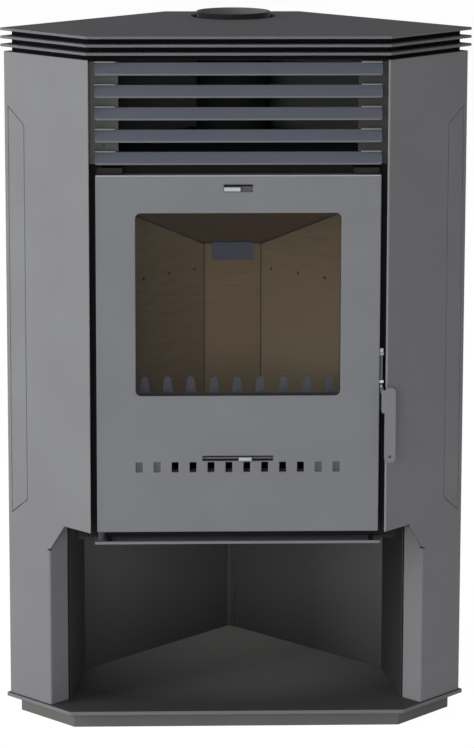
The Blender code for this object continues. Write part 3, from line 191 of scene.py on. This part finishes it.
def inside(material, **spans):
    """One inside a box of the row frame, given by its spans along x, y and z, nought outside."""
    box = [spans.get(axis, (-FAR, FAR)) for axis in "xyz"]
    coord = node(material, "TexCoord")
    moved = node(material, "VectorMath", [(0, coord, "Object")], operation="SUBTRACT")
    moved.inputs[1].default_value = [(low + high) / 2 for low, high in box]
    away = node(material, "VectorMath", [(0, moved, 0)], operation="ABSOLUTE")
    spare = node(material, "VectorMath", [(1, away, 0)], operation="SUBTRACT")
    spare.inputs[0].default_value = [(high - low) / 2 for low, high in box]
    split = node(material, "SeparateXYZ", [("Vector", spare, 0)])
    least = node(material, "Math", [(0, split, 0), (1, split, 1)], operation="MINIMUM")
    least = node(material, "Math", [(0, least, 0), (1, split, 2)], operation="MINIMUM")
    return node(material, "MapRange", [("Value", least, 0)], From_Max=0.2 * MM)


def bands(material, first, pitch, height):
    """One in level bands of this height that repeat upwards, nought between them."""
    coord = node(material, "TexCoord")
    split = node(material, "SeparateXYZ", [("Vector", coord, "Object")])
    risen = node(material, "Math", [(0, split, 2)], operation="SUBTRACT")
    risen.inputs[1].default_value = first
    turn = node(material, "Math", [(0, risen, 0)], operation="FLOORED_MODULO")
    turn.inputs[1].default_value = pitch
    return node(material, "MapRange", [("Value", turn, 0)], From_Min=height, From_Max=height * 0.6)


def fade(material, start, end):
    """Nought up to the level called start, one from the level called end, which may lie below it."""
    coord = node(material, "TexCoord")
    split = node(material, "SeparateXYZ", [("Vector", coord, "Object")])
    return node(material, "MapRange", [("Value", split, "Z")], From_Min=start, From_Max=end)


def facing(material, axis):
    """One on faces that look along this axis, nought on those that look the other way."""
    shape = node(material, "NewGeometry")
    split = node(material, "SeparateXYZ", [("Vector", shape, "True Normal")])
    return node(material, "MapRange", [("Value", split, axis)], From_Min=0.0, From_Max=0.1)


def around(material, axis, near, far):
    """One up to this distance from an upright line, nought from the second one on."""
    coord = node(material, "TexCoord")
    moved = node(material, "VectorMath", [(0, coord, "Object")], operation="SUBTRACT")
    moved.inputs[1].default_value = axis
    level = node(material, "VectorMath", [(0, moved, 0)], operation="MULTIPLY")
    level.inputs[1].default_value = (1, 1, 0)
    reach = node(material, "VectorMath", [(0, level, 0)], operation="LENGTH")
    return node(material, "MapRange", [("Value", reach, "Value")], From_Min=far, From_Max=near)


# Grain sizes. A pixel shows 1.6 mm, so sprayed grain of 0.2 mm, mill scale and sand are drawn coarser
SPRAY = 0.9 * MM
DARK_SPRAY = 1.2 * MM
MILL_SCALE = 1.5 * MM
MOULD_SAND = 1.1 * MM
SPANGLE = 2.0 * MM
FLAKE = 2.6 * MM
YARN = 1.2 * MM
SCREW_SKIN = 0.6 * MM
SPRAY_RELIEF = 0.02 * MM
DARK_SPRAY_RELIEF = 0.03 * MM
# Vermiculite flakes lie flat in level layers
LAYERS = (0.2, 0.2, 2.4)
LAYER_RELIEF = 0.012 * MM

# Matt stove paint: a sprayed grain that breaks up the sheen, and faint clouds of tone
PAINT = principled("stove_paint_grey", "7A7B7F", 0.75, Specular_IOR_Level=0.25)
grain(PAINT, ("77787C", "7D7E82"), SPRAY, 120 * MM, SPRAY_RELIEF, 0.06, edge=2.6 * MM)
# The casing's side fronts: the same paint, a touch warmer
CHEEK_PAINT = principled("stove_paint_casing", "79797C", 0.75, Specular_IOR_Level=0.25)
grain(CHEEK_PAINT, ("767679", "7C7D7F"), SPRAY, 120 * MM, SPRAY_RELIEF, 0.06, edge=2.6 * MM)
# The right one carries a painted highlight along its fold beside the door, brightest on the fold itself
for width, code in ((3.4 * MM, "8F9092"), (1.8 * MM, "A9AAAC")):
    fold_highlight = inside(
        CHEEK_PAINT, x=(CHEEK_EDGE - 0.2 * MM, CHEEK_EDGE + width), y=(-FAR, CHEEK_NOSE + width))
    recolour(CHEEK_PAINT, fold_highlight, code)
# The door: the same paint, with a painted highlight along its upper fold
DOOR_PAINT = PAINT.copy()
DOOR_PAINT.name = "stove_paint_door"
top_fold_highlight = inside(DOOR_PAINT, y=(-FAR, DOOR_FACE + 3.5 * MM), z=(DOOR_TOP - 1.6 * MM, FAR))
recolour(DOOR_PAINT, top_fold_highlight, "B4B5B7")
# Its two lugs, through which the handle's pin passes, carry painted highlights, the lower one brightest
for lug, code in ((LOW_LUG, "ECECEC"), (HIGH_LUG, "A2A3A5")):
    lug_glint = inside(DOOR_PAINT, x=(DOOR_EDGE + 0.2 * MM, FAR), z=(lug, lug + LUG_HEIGHT))
    recolour(DOOR_PAINT, lug_glint, code)
# The handle's bare steel pin: painted highlights above the neck and at the head, grey between the lugs
HANDLE_PAINT = PAINT.copy()
HANDLE_PAINT.name = "stove_paint_handle"
for low, high, reach, code in (
    (PIN_FOOT, PIN_FOOT + 3 * MM, 2.2 * MM, "CDCECF"),
    (LOW_LUG, HIGH_LUG, 2.6 * MM, "707175"),
    (HIGH_LUG, FAR, 4.4 * MM, "D2D3D5"),
):
    bare = inside(HANDLE_PAINT, x=(-FAR, PIN_AXIS[0] + reach), z=(low, high))
    recolour(HANDLE_PAINT, bare, code)
# The plate under the firebox: the same paint on its lip; painted shade, darker behind it, black beside
# the box
BASE_PAINT = principled("stove_paint_base", "7A7B7F", 0.75, Specular_IOR_Level=0.25)
grain(BASE_PAINT, ("77787C", "7D7E82"), SPRAY, 120 * MM, SPRAY_RELIEF, 0.06)
recolour(BASE_PAINT, inside(BASE_PAINT, y=(LIP_FACE + 0.8 * MM, FAR)), "5A5B5D")
recolour(BASE_PAINT, inside(BASE_PAINT, x=(-FAR, -LIP_END)), "1A1A1B")
recolour(BASE_PAINT, inside(BASE_PAINT, x=(LIP_END, FAR)), "1A1A1B")
# The door's lower pin, which stands on it, is bare and dark
recolour(BASE_PAINT, around(BASE_PAINT, HINGE_AXIS, 5.5 * MM, 6 * MM), "3E3E3F")
# Top plates: the same paint, darker as painted shade on top, with hardly any sheen so that edges stay
# even
PLATE_PAINT = principled("stove_paint_plates", "6E6F72", 0.8, Specular_IOR_Level=0.06)
grain(PLATE_PAINT, ("6C6D70", "707174"), SPRAY, 100 * MM, SPRAY_RELIEF, 0.06)
# Plinth: the same paint, duller and warmer near the floor, and darker as painted shade under the plate
# above
PLINTH_PAINT = principled("stove_paint_plinth", "666663", 0.8, Specular_IOR_Level=0.15)
grain(PLINTH_PAINT, ("636360", "696966"), SPRAY, 100 * MM, SPRAY_RELIEF, 0.06)
# Louvre slats: satin paint with a bluish cast, and a paler grey painted highlight on each slat's lower
# edge
SLAT_PAINT = principled("stove_paint_slats", "5A5D68", 0.65, Specular_IOR_Level=0.25)
grain(SLAT_PAINT, ("585B66", "5C5F6A"), SPRAY, 100 * MM, SPRAY_RELIEF, 0.05)
recolour(SLAT_PAINT, bands(SLAT_PAINT, SLAT_BOTTOM, SLAT_PITCH, 3 * MM), "6A6B70")
# Their brackets: the same paint, darker as painted shade behind the slats, the right one darker still
BRACKET_PAINT = principled("stove_paint_brackets", "4E4E4C", 0.7, Specular_IOR_Level=0.2)
grain(BRACKET_PAINT, ("4B4B49", "51514F"), SPRAY, 100 * MM, SPRAY_RELIEF, 0.05)
recolour(BRACKET_PAINT, inside(BRACKET_PAINT, x=(0, FAR)), "363534")
# The brackets' tabs, paler where they stand out over each slat: a painted highlight on their lit edges
TAB_PAINT = principled("bracket_tab_paint", "7E8083", 0.7, Specular_IOR_Level=0.2)
grain(TAB_PAINT, ("7B7D80", "818386"), SPRAY, 100 * MM, SPRAY_RELIEF, 0.05)
# Dark heat-proof paint of the casing's lid: nearly no sheen
BLACK = principled("heatproof_black_paint", "2B2B2C", 0.75, Specular_IOR_Level=0.2)
grain(BLACK, ("29292A", "2E2E2F"), DARK_SPRAY, 60 * MM, DARK_SPRAY_RELIEF, 0.08)
# Boards between the plates: the same black, deeper, as painted shade, so that they read as gaps
CORE = principled("spacer_black", "0D0D0E", 0.85, Specular_IOR_Level=0.05)
grain(CORE, ("0B0B0C", "0F0F10"), DARK_SPRAY, 60 * MM, DARK_SPRAY_RELIEF, 0.06)
# Inner walls of the log store: black, with painted light on faces that look along +X, the left wall's
# inner face
LOG_PAINT = principled("log_store_paint", "2D2D2C", 0.8, Specular_IOR_Level=0.15)
grain(LOG_PAINT, ("2A2A29", "30302F"), DARK_SPRAY, 60 * MM, DARK_SPRAY_RELIEF, 0.06)
recolour(LOG_PAINT, facing(LOG_PAINT, "X"), "424442")
# Flue collar: black outside, painted pale grey in its bore as painted light on the lit far wall inside
COLLAR = principled("collar_black", "242425", 0.75, Specular_IOR_Level=0.15)
grain(COLLAR, ("222223", "262627"), DARK_SPRAY, 60 * MM, DARK_SPRAY_RELIEF, 0.06)
recolour(COLLAR, around(COLLAR, COLLAR_AXIS, COLLAR_WALL, COLLAR_WALL + 0.2 * MM), "7E7E80")
# Rear walls: dark inside the log store, darker towards the floor as painted shade, and in the casing's
# grey outside
REAR_PAINT = principled("dark_grey_paint", "525252", 0.75, Specular_IOR_Level=0.2)
grain(REAR_PAINT, ("353535", "393939"), DARK_SPRAY, 90 * MM, DARK_SPRAY_RELIEF, 0.06)
recolour(REAR_PAINT, fade(REAR_PAINT, FLOOR_TOP, LOG_STORE_TOP), "676766")
recolour(REAR_PAINT, facing(REAR_PAINT, "Y"), "6C6D70")
# Floor plate: grey edges, a top painted dark as shade, and a pale painted pool of light in its rear
# corner
FLOOR_PAINT = principled("floor_plate_paint", "464646", 0.75, Specular_IOR_Level=0.15)
grain(FLOOR_PAINT, ("444444", "484848"), DARK_SPRAY, 90 * MM, DARK_SPRAY_RELIEF, 0.06)
recolour(FLOOR_PAINT, inside(FLOOR_PAINT, z=(-FAR, FLOOR_TOP - 0.2 * MM)), "747579")
recolour(FLOOR_PAINT, around(FLOOR_PAINT, (0, REAR_CORNER, 0), 0.06, 0.42), "A8A8A6")
# Hot-rolled plate of the firebox under sooty paint
BOX_STEEL = principled("firebox_steel_paint", "2C2D2F", 0.65, 0.2)
grain(BOX_STEEL, ("28292B", "313234"), MILL_SCALE, 50 * MM, 0.05 * MM, 0.08)
# Its front plate and rear walls: smoke-black, and painted shade in the gaps round the door; no sheen
# left
SMOKE_AND_SHADE_STEEL = principled("smoked_front_steel", "1E1E1F", 0.8, Specular_IOR_Level=0.12)
grain(SMOKE_AND_SHADE_STEEL, ("1B1B1C", "212122"), MILL_SCALE, 50 * MM, 0.05 * MM, 0.06)
# Raw casting: pebbled skin from the sand mould
CAST = principled("raw_cast_iron", "676B7A", 0.6, 0.4)
grain(CAST, ("5E6271", "707483"), MOULD_SAND, 30 * MM, 0.1 * MM, 0.08)
# Dull zinc on folded sheet: pale, with a faint spangle
ZINC = principled("zinc_plated_sheet", "BCBEC1", 0.55, Specular_IOR_Level=0.1)
grain(ZINC, ("B6B8BB", "C2C4C7"), SPANGLE, 12 * MM, 0.01 * MM, 0.06)
# The same sheet behind the door's face, painted darker as shade in the recess
recolour(ZINC, inside(ZINC, y=(DOOR_FACE, FAR)), "5E5F62")
# Painted shade on it in the lower slot, in two dark lines with a paler one between them
for low, high, code in ((0.4402, 0.4438, "060606"), (0.4466, 0.4520, "0A0A0A")):
    recolour(ZINC, inside(ZINC, y=(DOOR_FACE, FAR), z=(low, high)), code)
# Bare steel that has been through the fire: bluish and dull
FIRED_STEEL = principled("fired_steel", "565A62", 0.6, 0.3)
grain(FIRED_STEEL, ("525A76", "575F7B"), MILL_SCALE, 20 * MM, 0.01 * MM, 0.08)
# Blocks of hinge and catch, painted dark as shade in the gap round the door
GAP_SHADE_STEEL = principled("sooted_steel", "252220", 0.75, 0.1, Specular_IOR_Level=0.2)
grain(GAP_SHADE_STEEL, ("211E1C", "292624"), MILL_SCALE, 20 * MM, 0.03 * MM, 0.08)
# Pressed vermiculite board: golden flakes in a dull tan, in faint level layers
VERMICULITE = principled("vermiculite_board", "A18C6D", 0.95, Specular_IOR_Level=0.05)
grain(VERMICULITE, ("9A8562", "A79375"), FLAKE, 12 * MM, LAYER_RELIEF, 0.03, LAYERS, 0.5 * MM)
# The right side's boards are painted paler down to the fire's bed, as painted light
PALE_BOARD = VERMICULITE.copy()
PALE_BOARD.name = "vermiculite_bleached"
recolour(PALE_BOARD, fade(PALE_BOARD, 0.76, FIRE_BED), "CEBA97")
# The rear board: painted light below, weaker than the right side's, and browner above
REAR_BOARD = VERMICULITE.copy()
REAR_BOARD.name = "vermiculite_rear"
recolour(REAR_BOARD, fade(REAR_BOARD, 0.66, 0.80), "968265")
recolour(REAR_BOARD, fade(REAR_BOARD, 0.68, 0.52), "B09B7A")
# Painted shade in the boards' joints and corners
for board in (VERMICULITE, PALE_BOARD, REAR_BOARD):
    crevice_shade(board, 6 * MM, "1C150C")
# The baffle: the same board, browned by the flames
BAFFLE_BOARD = principled("baffle_board", "6E5230", 0.95, Specular_IOR_Level=0.05)
grain(BAFFLE_BOARD, ("674C2B", "755835"), FLAKE, 12 * MM, LAYER_RELIEF, 0.03, LAYERS, 0.5 * MM)
# Painted shade in its joints and corners
crevice_shade(BAFFLE_BOARD, 7 * MM, "140F08")
# Ceramic glass: clear with a warm tint, mirror-smooth
GLASS = principled("ceramic_glass", "2A2620", 0.03, Alpha=0.22, Specular_IOR_Level=0.4)
# Twisted glass-fibre rope, black: no sheen, deep furrows between its yarns
ROPE = principled("seal_rope", "2A2A2A", 0.95)
grain(ROPE, ("202020", "3A3A3A"), YARN, 4 * MM, 0.4 * MM, 0.02)
# Zinc-plated screws: pressed smooth, so that they glint
SCREW = principled("zinc_screw", "8E9094", 0.35, 0.9)
grain(SCREW, ("84868A", "9A9CA0"), SCREW_SKIN, 3 * MM, 0.01 * MM, 0.06)
# Blackened screws: the same with a dark oily sheen
DARK_SCREW = principled("blackened_screw", "3A3A3C", 0.45, 0.6)
grain(DARK_SCREW, ("303032", "46464A"), SCREW_SKIN, 3 * MM, 0.01 * MM, 0.06)

BY_SLOT = {
    "grey_paint": PAINT, "plate_paint": PLATE_PAINT, "slat_paint": SLAT_PAINT, "black_paint": BLACK,
    "firebox_steel": BOX_STEEL, "vermiculite": VERMICULITE, "cast_iron": CAST, "zinc_steel": ZINC,
    "ceramic_glass": GLASS, "seal_rope": ROPE,
}
# Nodes whose finish differs from the rest of their slot
OWN = {
    REAR_PAINT: ("rear_panel_left", "rear_panel_right"),
    FLOOR_PAINT: ("floor_plate",),
    PLINTH_PAINT: ("plinth",),
    BASE_PAINT: ("body_base",),
    DOOR_PAINT: ("door_face",),
    HANDLE_PAINT: ("handle",),
    CORE: ("spacer_lower", "spacer_middle", "spacer_top"),
    SMOKE_AND_SHADE_STEEL: ("firebox_front", "firebox_wall_left", "firebox_wall_right", "firebox_rear_wall"),
    CHEEK_PAINT: ("cheek_left", "cheek_right", "cheek_cover_left", "cheek_cover_right"),
    PALE_BOARD: ("firebrick_right", "firebrick_side_right"),
    REAR_BOARD: ("firebrick_rear",),
    BRACKET_PAINT: ("louvre_bracket_left", "louvre_bracket_right"),
    LOG_PAINT: ("log_store_side_left", "log_store_side_right"),
    COLLAR: ("flue_collar",),
    FIRED_STEEL: ("baffle_bracket",),
    BAFFLE_BOARD: ("baffle_plate",),
    GAP_SHADE_STEEL: ("hinge_bracket_left", "hinge_bracket_right", "latch_catch"),
}
OWN_BY_NODE = {name: material for material, names in OWN.items() for name in names}
for entry in FRAME["record"]["subparts"]:
    name = entry["node"]
    NODES[name].data.materials.clear()
    NODES[name].data.materials.append(OWN_BY_NODE.get(name, BY_SLOT[entry["material_slot"]]))


def piece(name, bm, material, body):
    """A finished mesh that rides on a CAD body."""
    bmesh.ops.recalc_face_normals(bm, faces=bm.faces)
    mesh = bpy.data.meshes.new(name)
    bm.to_mesh(mesh)
    bm.free()
    mesh.shade_smooth()
    mesh.set_sharp_from_angle(angle=radians(40))
    mesh.materials.append(material)
    obj = bpy.data.objects.new(name, mesh)
    bpy.context.scene.collection.objects.link(obj)
    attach(obj, body)


# Half section of a pan-head screw: shares of its radius and height, and how deep the lobes are there
SCREW_SECTION = (
    (1.0, -0.1, 0), (1.0, 0.35, 0), (0.93, 0.7, 0), (0.75, 0.92, 0), (0.55, 1.0, 0),
    (0.5, 0.98, 0.12), (0.47, 0.35, 0.12),
)
SCREW_STEPS = 24
LOBES = 6


def add_screw(bm, place, normal, radius, height):
    """A pan-head screw with a six-lobed socket, standing on a face."""
    turn = Vector(normal).to_track_quat("Z", "Y").to_matrix().to_4x4()
    move = Matrix.Translation(place) @ turn
    rings = []
    for share, rise, lobe in SCREW_SECTION:
        ring = []
        for i in range(SCREW_STEPS):
            a = 2 * pi * i / SCREW_STEPS
            reach = radius * share * (1 + lobe * cos(LOBES * a))
            ring.append(bm.verts.new(move @ Vector((reach * cos(a), reach * sin(a), rise * height))))
        rings.append(ring)
    for low, high in zip(rings, rings[1:]):
        for i in range(SCREW_STEPS):
            j = (i + 1) % SCREW_STEPS
            bm.faces.new((low[i], low[j], high[j], high[i]))
    bm.faces.new(rings[-1])
    bm.faces.new(list(reversed(rings[0])))


def screws(name, places, normal, radius, height, body, material=SCREW):
    """Screws of one size on one body, as one piece."""
    bm = bmesh.new()
    for place in places:
        add_screw(bm, place, normal, radius, height)
    piece(name, bm, material, body)


FRONT = (0, -1, 0)
REAR = (0, 1, 0)
UP = (0, 0, 1)

# Louvre: a screw in each bracket, and the brackets' tabs over the slats
screws(
    "louvre_screws", [Vector((x, BRACKET_FACE, 0.932)) for x in (-0.2045, 0.2045)], FRONT,
    2.2 * MM, 1.4 * MM, "body", DARK_SCREW)
TAB_ENDS = (0.1862, 0.2176)
TAB_FRONT_AND_BACK = (-0.2385, -0.2301)
TAB_HEIGHT = 2.1 * MM
for side, word in ((-1, "left"), (1, "right")):
    bm = bmesh.new()
    for i in range(SLATS):
        low = SLAT_TOP - SLAT_PITCH * i + 0.3 * MM
        box = [
            Vector((side * x, y, z)) for x in TAB_ENDS for y in TAB_FRONT_AND_BACK
            for z in (low, low + TAB_HEIGHT)]
        bmesh.ops.convex_hull(bm, input=[bm.verts.new(corner) for corner in box])
    bmesh.ops.bevel(
        bm, geom=bm.edges[:], offset=0.3 * MM, segments=2, affect="EDGES", profile=0.5)
    piece(f"louvre_tabs_{word}", bm, TAB_PAINT, "body")

# Bolts that stand behind the lip under the door, in the boards' near black as painted shade
screws(
    "base_bolts", [Vector((x, -0.2335, BASE_TOP)) for x in (-0.199, 0.206)], UP, 3.7 * MM, 7.5 * MM,
    "body", CORE)

# Screws of the latch catch and round the back of the door
screws(
    "catch_screws", [Vector((0.2110, CATCH_PLATE, z)) for z in (0.5205, 0.5535)], FRONT,
    2.6 * MM, 1.4 * MM, "body")
liner = [Vector((x, DOOR_BACK, z)) for x in (-0.180, 0.180) for z in (0.375, 0.52, 0.69, 0.845)]
liner += [Vector((0, DOOR_BACK, z)) for z in (0.362, 0.858)]
screws("liner_screws", liner, REAR, 3.8 * MM, 2.2 * MM, "door")

# Screws in the laps at the rear of the casing, and in its lid
LAP_MIDDLE = 0.3560
LAP_LEVELS = (0.12, 0.34, 0.56, 0.78, 1.0)
for side, word in ((-1, "left"), (1, "right")):
    places = [Vector((side * LAP_MIDDLE, LAP_SUM - LAP_MIDDLE, z)) for z in LAP_LEVELS]
    screws(
        f"lap_screws_{word}", places, (side, 1, 0), 3.5 * MM, 1.9 * MM, "body", PAINT)
screws(
    "lid_screws", [Vector((x, 0.192, LID_TOP)) for x in (-0.038, 0.038)], UP, 3.5 * MM, 1.9 * MM,
    "body", DARK_SCREW)

# Floor: plain and pale, lit up for the camera and in gloss, with the object's soft shadow on it
FLOOR_REACH = 20  # metres to each side
FLOOR_GLOW = 1.1
GLOW_SHARE = 0.88
FLOOR_LOOK = principled("pale_floor", "F2F2F2", 0.9, Specular_IOR_Level=0.0)
glow = node(FLOOR_LOOK, "Emission", Color=(1, 1, 1, 1), Strength=FLOOR_GLOW)
path = node(FLOOR_LOOK, "LightPath")
seen = node(
    FLOOR_LOOK, "Math", [(0, path, "Is Camera Ray"), (1, path, "Is Glossy Ray")], operation="MAXIMUM")
share = node(FLOOR_LOOK, "Math", [(0, seen, 0)], operation="MULTIPLY")
share.inputs[1].default_value = GLOW_SHARE
plain = FLOOR_LOOK.node_tree.nodes["Principled BSDF"]
mix = node(FLOOR_LOOK, "MixShader", [(0, share, 0), (1, plain, 0), (2, glow, 0)])
FLOOR_LOOK.node_tree.links.new(
    mix.outputs[0], FLOOR_LOOK.node_tree.nodes["Material Output"].inputs["Surface"])
bm = bmesh.new()
bmesh.ops.create_grid(bm, x_segments=1, y_segments=1, size=FLOOR_REACH)
floor_mesh = bpy.data.meshes.new("floor")
bm.to_mesh(floor_mesh)
bm.free()
floor_mesh.materials.append(FLOOR_LOOK)
FLOOR = bpy.data.objects.new("floor", floor_mesh)
bpy.context.scene.collection.objects.link(FLOOR)

# World: white behind the object, in its gloss and through its glass, and soft light on its surfaces,
# weaker from above
LIGHT_FROM_LEVEL = 0.38
LIGHT_FROM_ABOVE = 0.06
world = bpy.data.worlds.new("studio")
world.use_nodes = True
bpy.context.scene.world = world
sky = world.node_tree.nodes["Background"]
sky.inputs["Color"].default_value = (1, 1, 1, 1)
rays = node(world, "LightPath")
white = node(
    world, "Math", [(0, rays, "Is Camera Ray"), (1, rays, "Is Glossy Ray")], operation="MAXIMUM")
clear = node(world, "Math", [(0, white, 0), (1, rays, "Is Transmission Ray")], operation="MAXIMUM")
coord = node(world, "TexCoord")
split = node(world, "SeparateXYZ", [("Vector", coord, "Generated")])
soft = node(
    world, "MapRange", [("Value", split, "Z")], To_Min=LIGHT_FROM_LEVEL, To_Max=LIGHT_FROM_ABOVE)
level = node(world, "Mix", [("Factor", clear, 0), (2, soft, 0)], data_type="FLOAT")
level.inputs[3].default_value = 1.0
world.node_tree.links.new(level.outputs[0], sky.inputs["Strength"])


def softbox(name, place, target, width, height, power):
    """A rectangular lamp aimed at a point, which the camera doesn't see."""
    lamp = bpy.data.lights.new(name, "AREA")
    lamp.shape = "RECTANGLE"
    lamp.size = width
    lamp.size_y = height
    lamp.energy = power
    obj = bpy.data.objects.new(name, lamp)
    obj.location = place
    obj.rotation_euler = (Vector(target) - Vector(place)).to_track_quat("-Z", "Y").to_euler()
    obj.visible_camera = False
    bpy.context.scene.collection.objects.link(obj)


STOVE_MIDDLE = (0, 0, 0.6)
# The left cheek is the brightest side, the door comes next, and the right cheek is in half shade
softbox("side_left", (-3.76, -1.37, 1.2), STOVE_MIDDLE, 2.0, 2.2, 100)
softbox("front", (-0.95, -5.4, 1.5), STOVE_MIDDLE, 2.2, 2.2, 107)
# A little light on the flange right of the log store
softbox("low_right", (1.05, -0.8, 0.1), (0.3, -0.15, 0.1), 0.4, 0.2, 0.7)
# The rear walls, which the other lamps don't reach
softbox("rear_left", (-2.6, 4.0, 1.0), STOVE_MIDDLE, 1.8, 1.8, 50)
softbox("rear_right", (3.2, 3.4, 1.0), STOVE_MIDDLE, 1.8, 1.8, 50)

# Camera where the photograph was taken from, by a fit to the stove's edges
CAMERA_PLACE = (-0.13185, -4.81487, 1.58018)
TURNED_RIGHT = radians(1.624)
PITCHED_DOWN = radians(9.823)
ROLLED = radians(0.115)
camera = bpy.data.cameras.new("camera")
camera.lens = 146.9
camera.shift_y = -0.18
CAMERA = bpy.data.objects.new("camera", camera)
bpy.context.scene.collection.objects.link(CAMERA)
bpy.context.scene.camera = CAMERA
CAMERA.matrix_world = (
    Matrix.Translation(CAMERA_PLACE)
    @ Matrix.Rotation(-TURNED_RIGHT, 4, "Z")
    @ Matrix.Rotation(pi / 2 - PITCHED_DOWN, 4, "X")
    @ Matrix.Rotation(ROLLED, 4, "Z")
)
bpy.context.scene.view_settings.view_transform = "Standard"
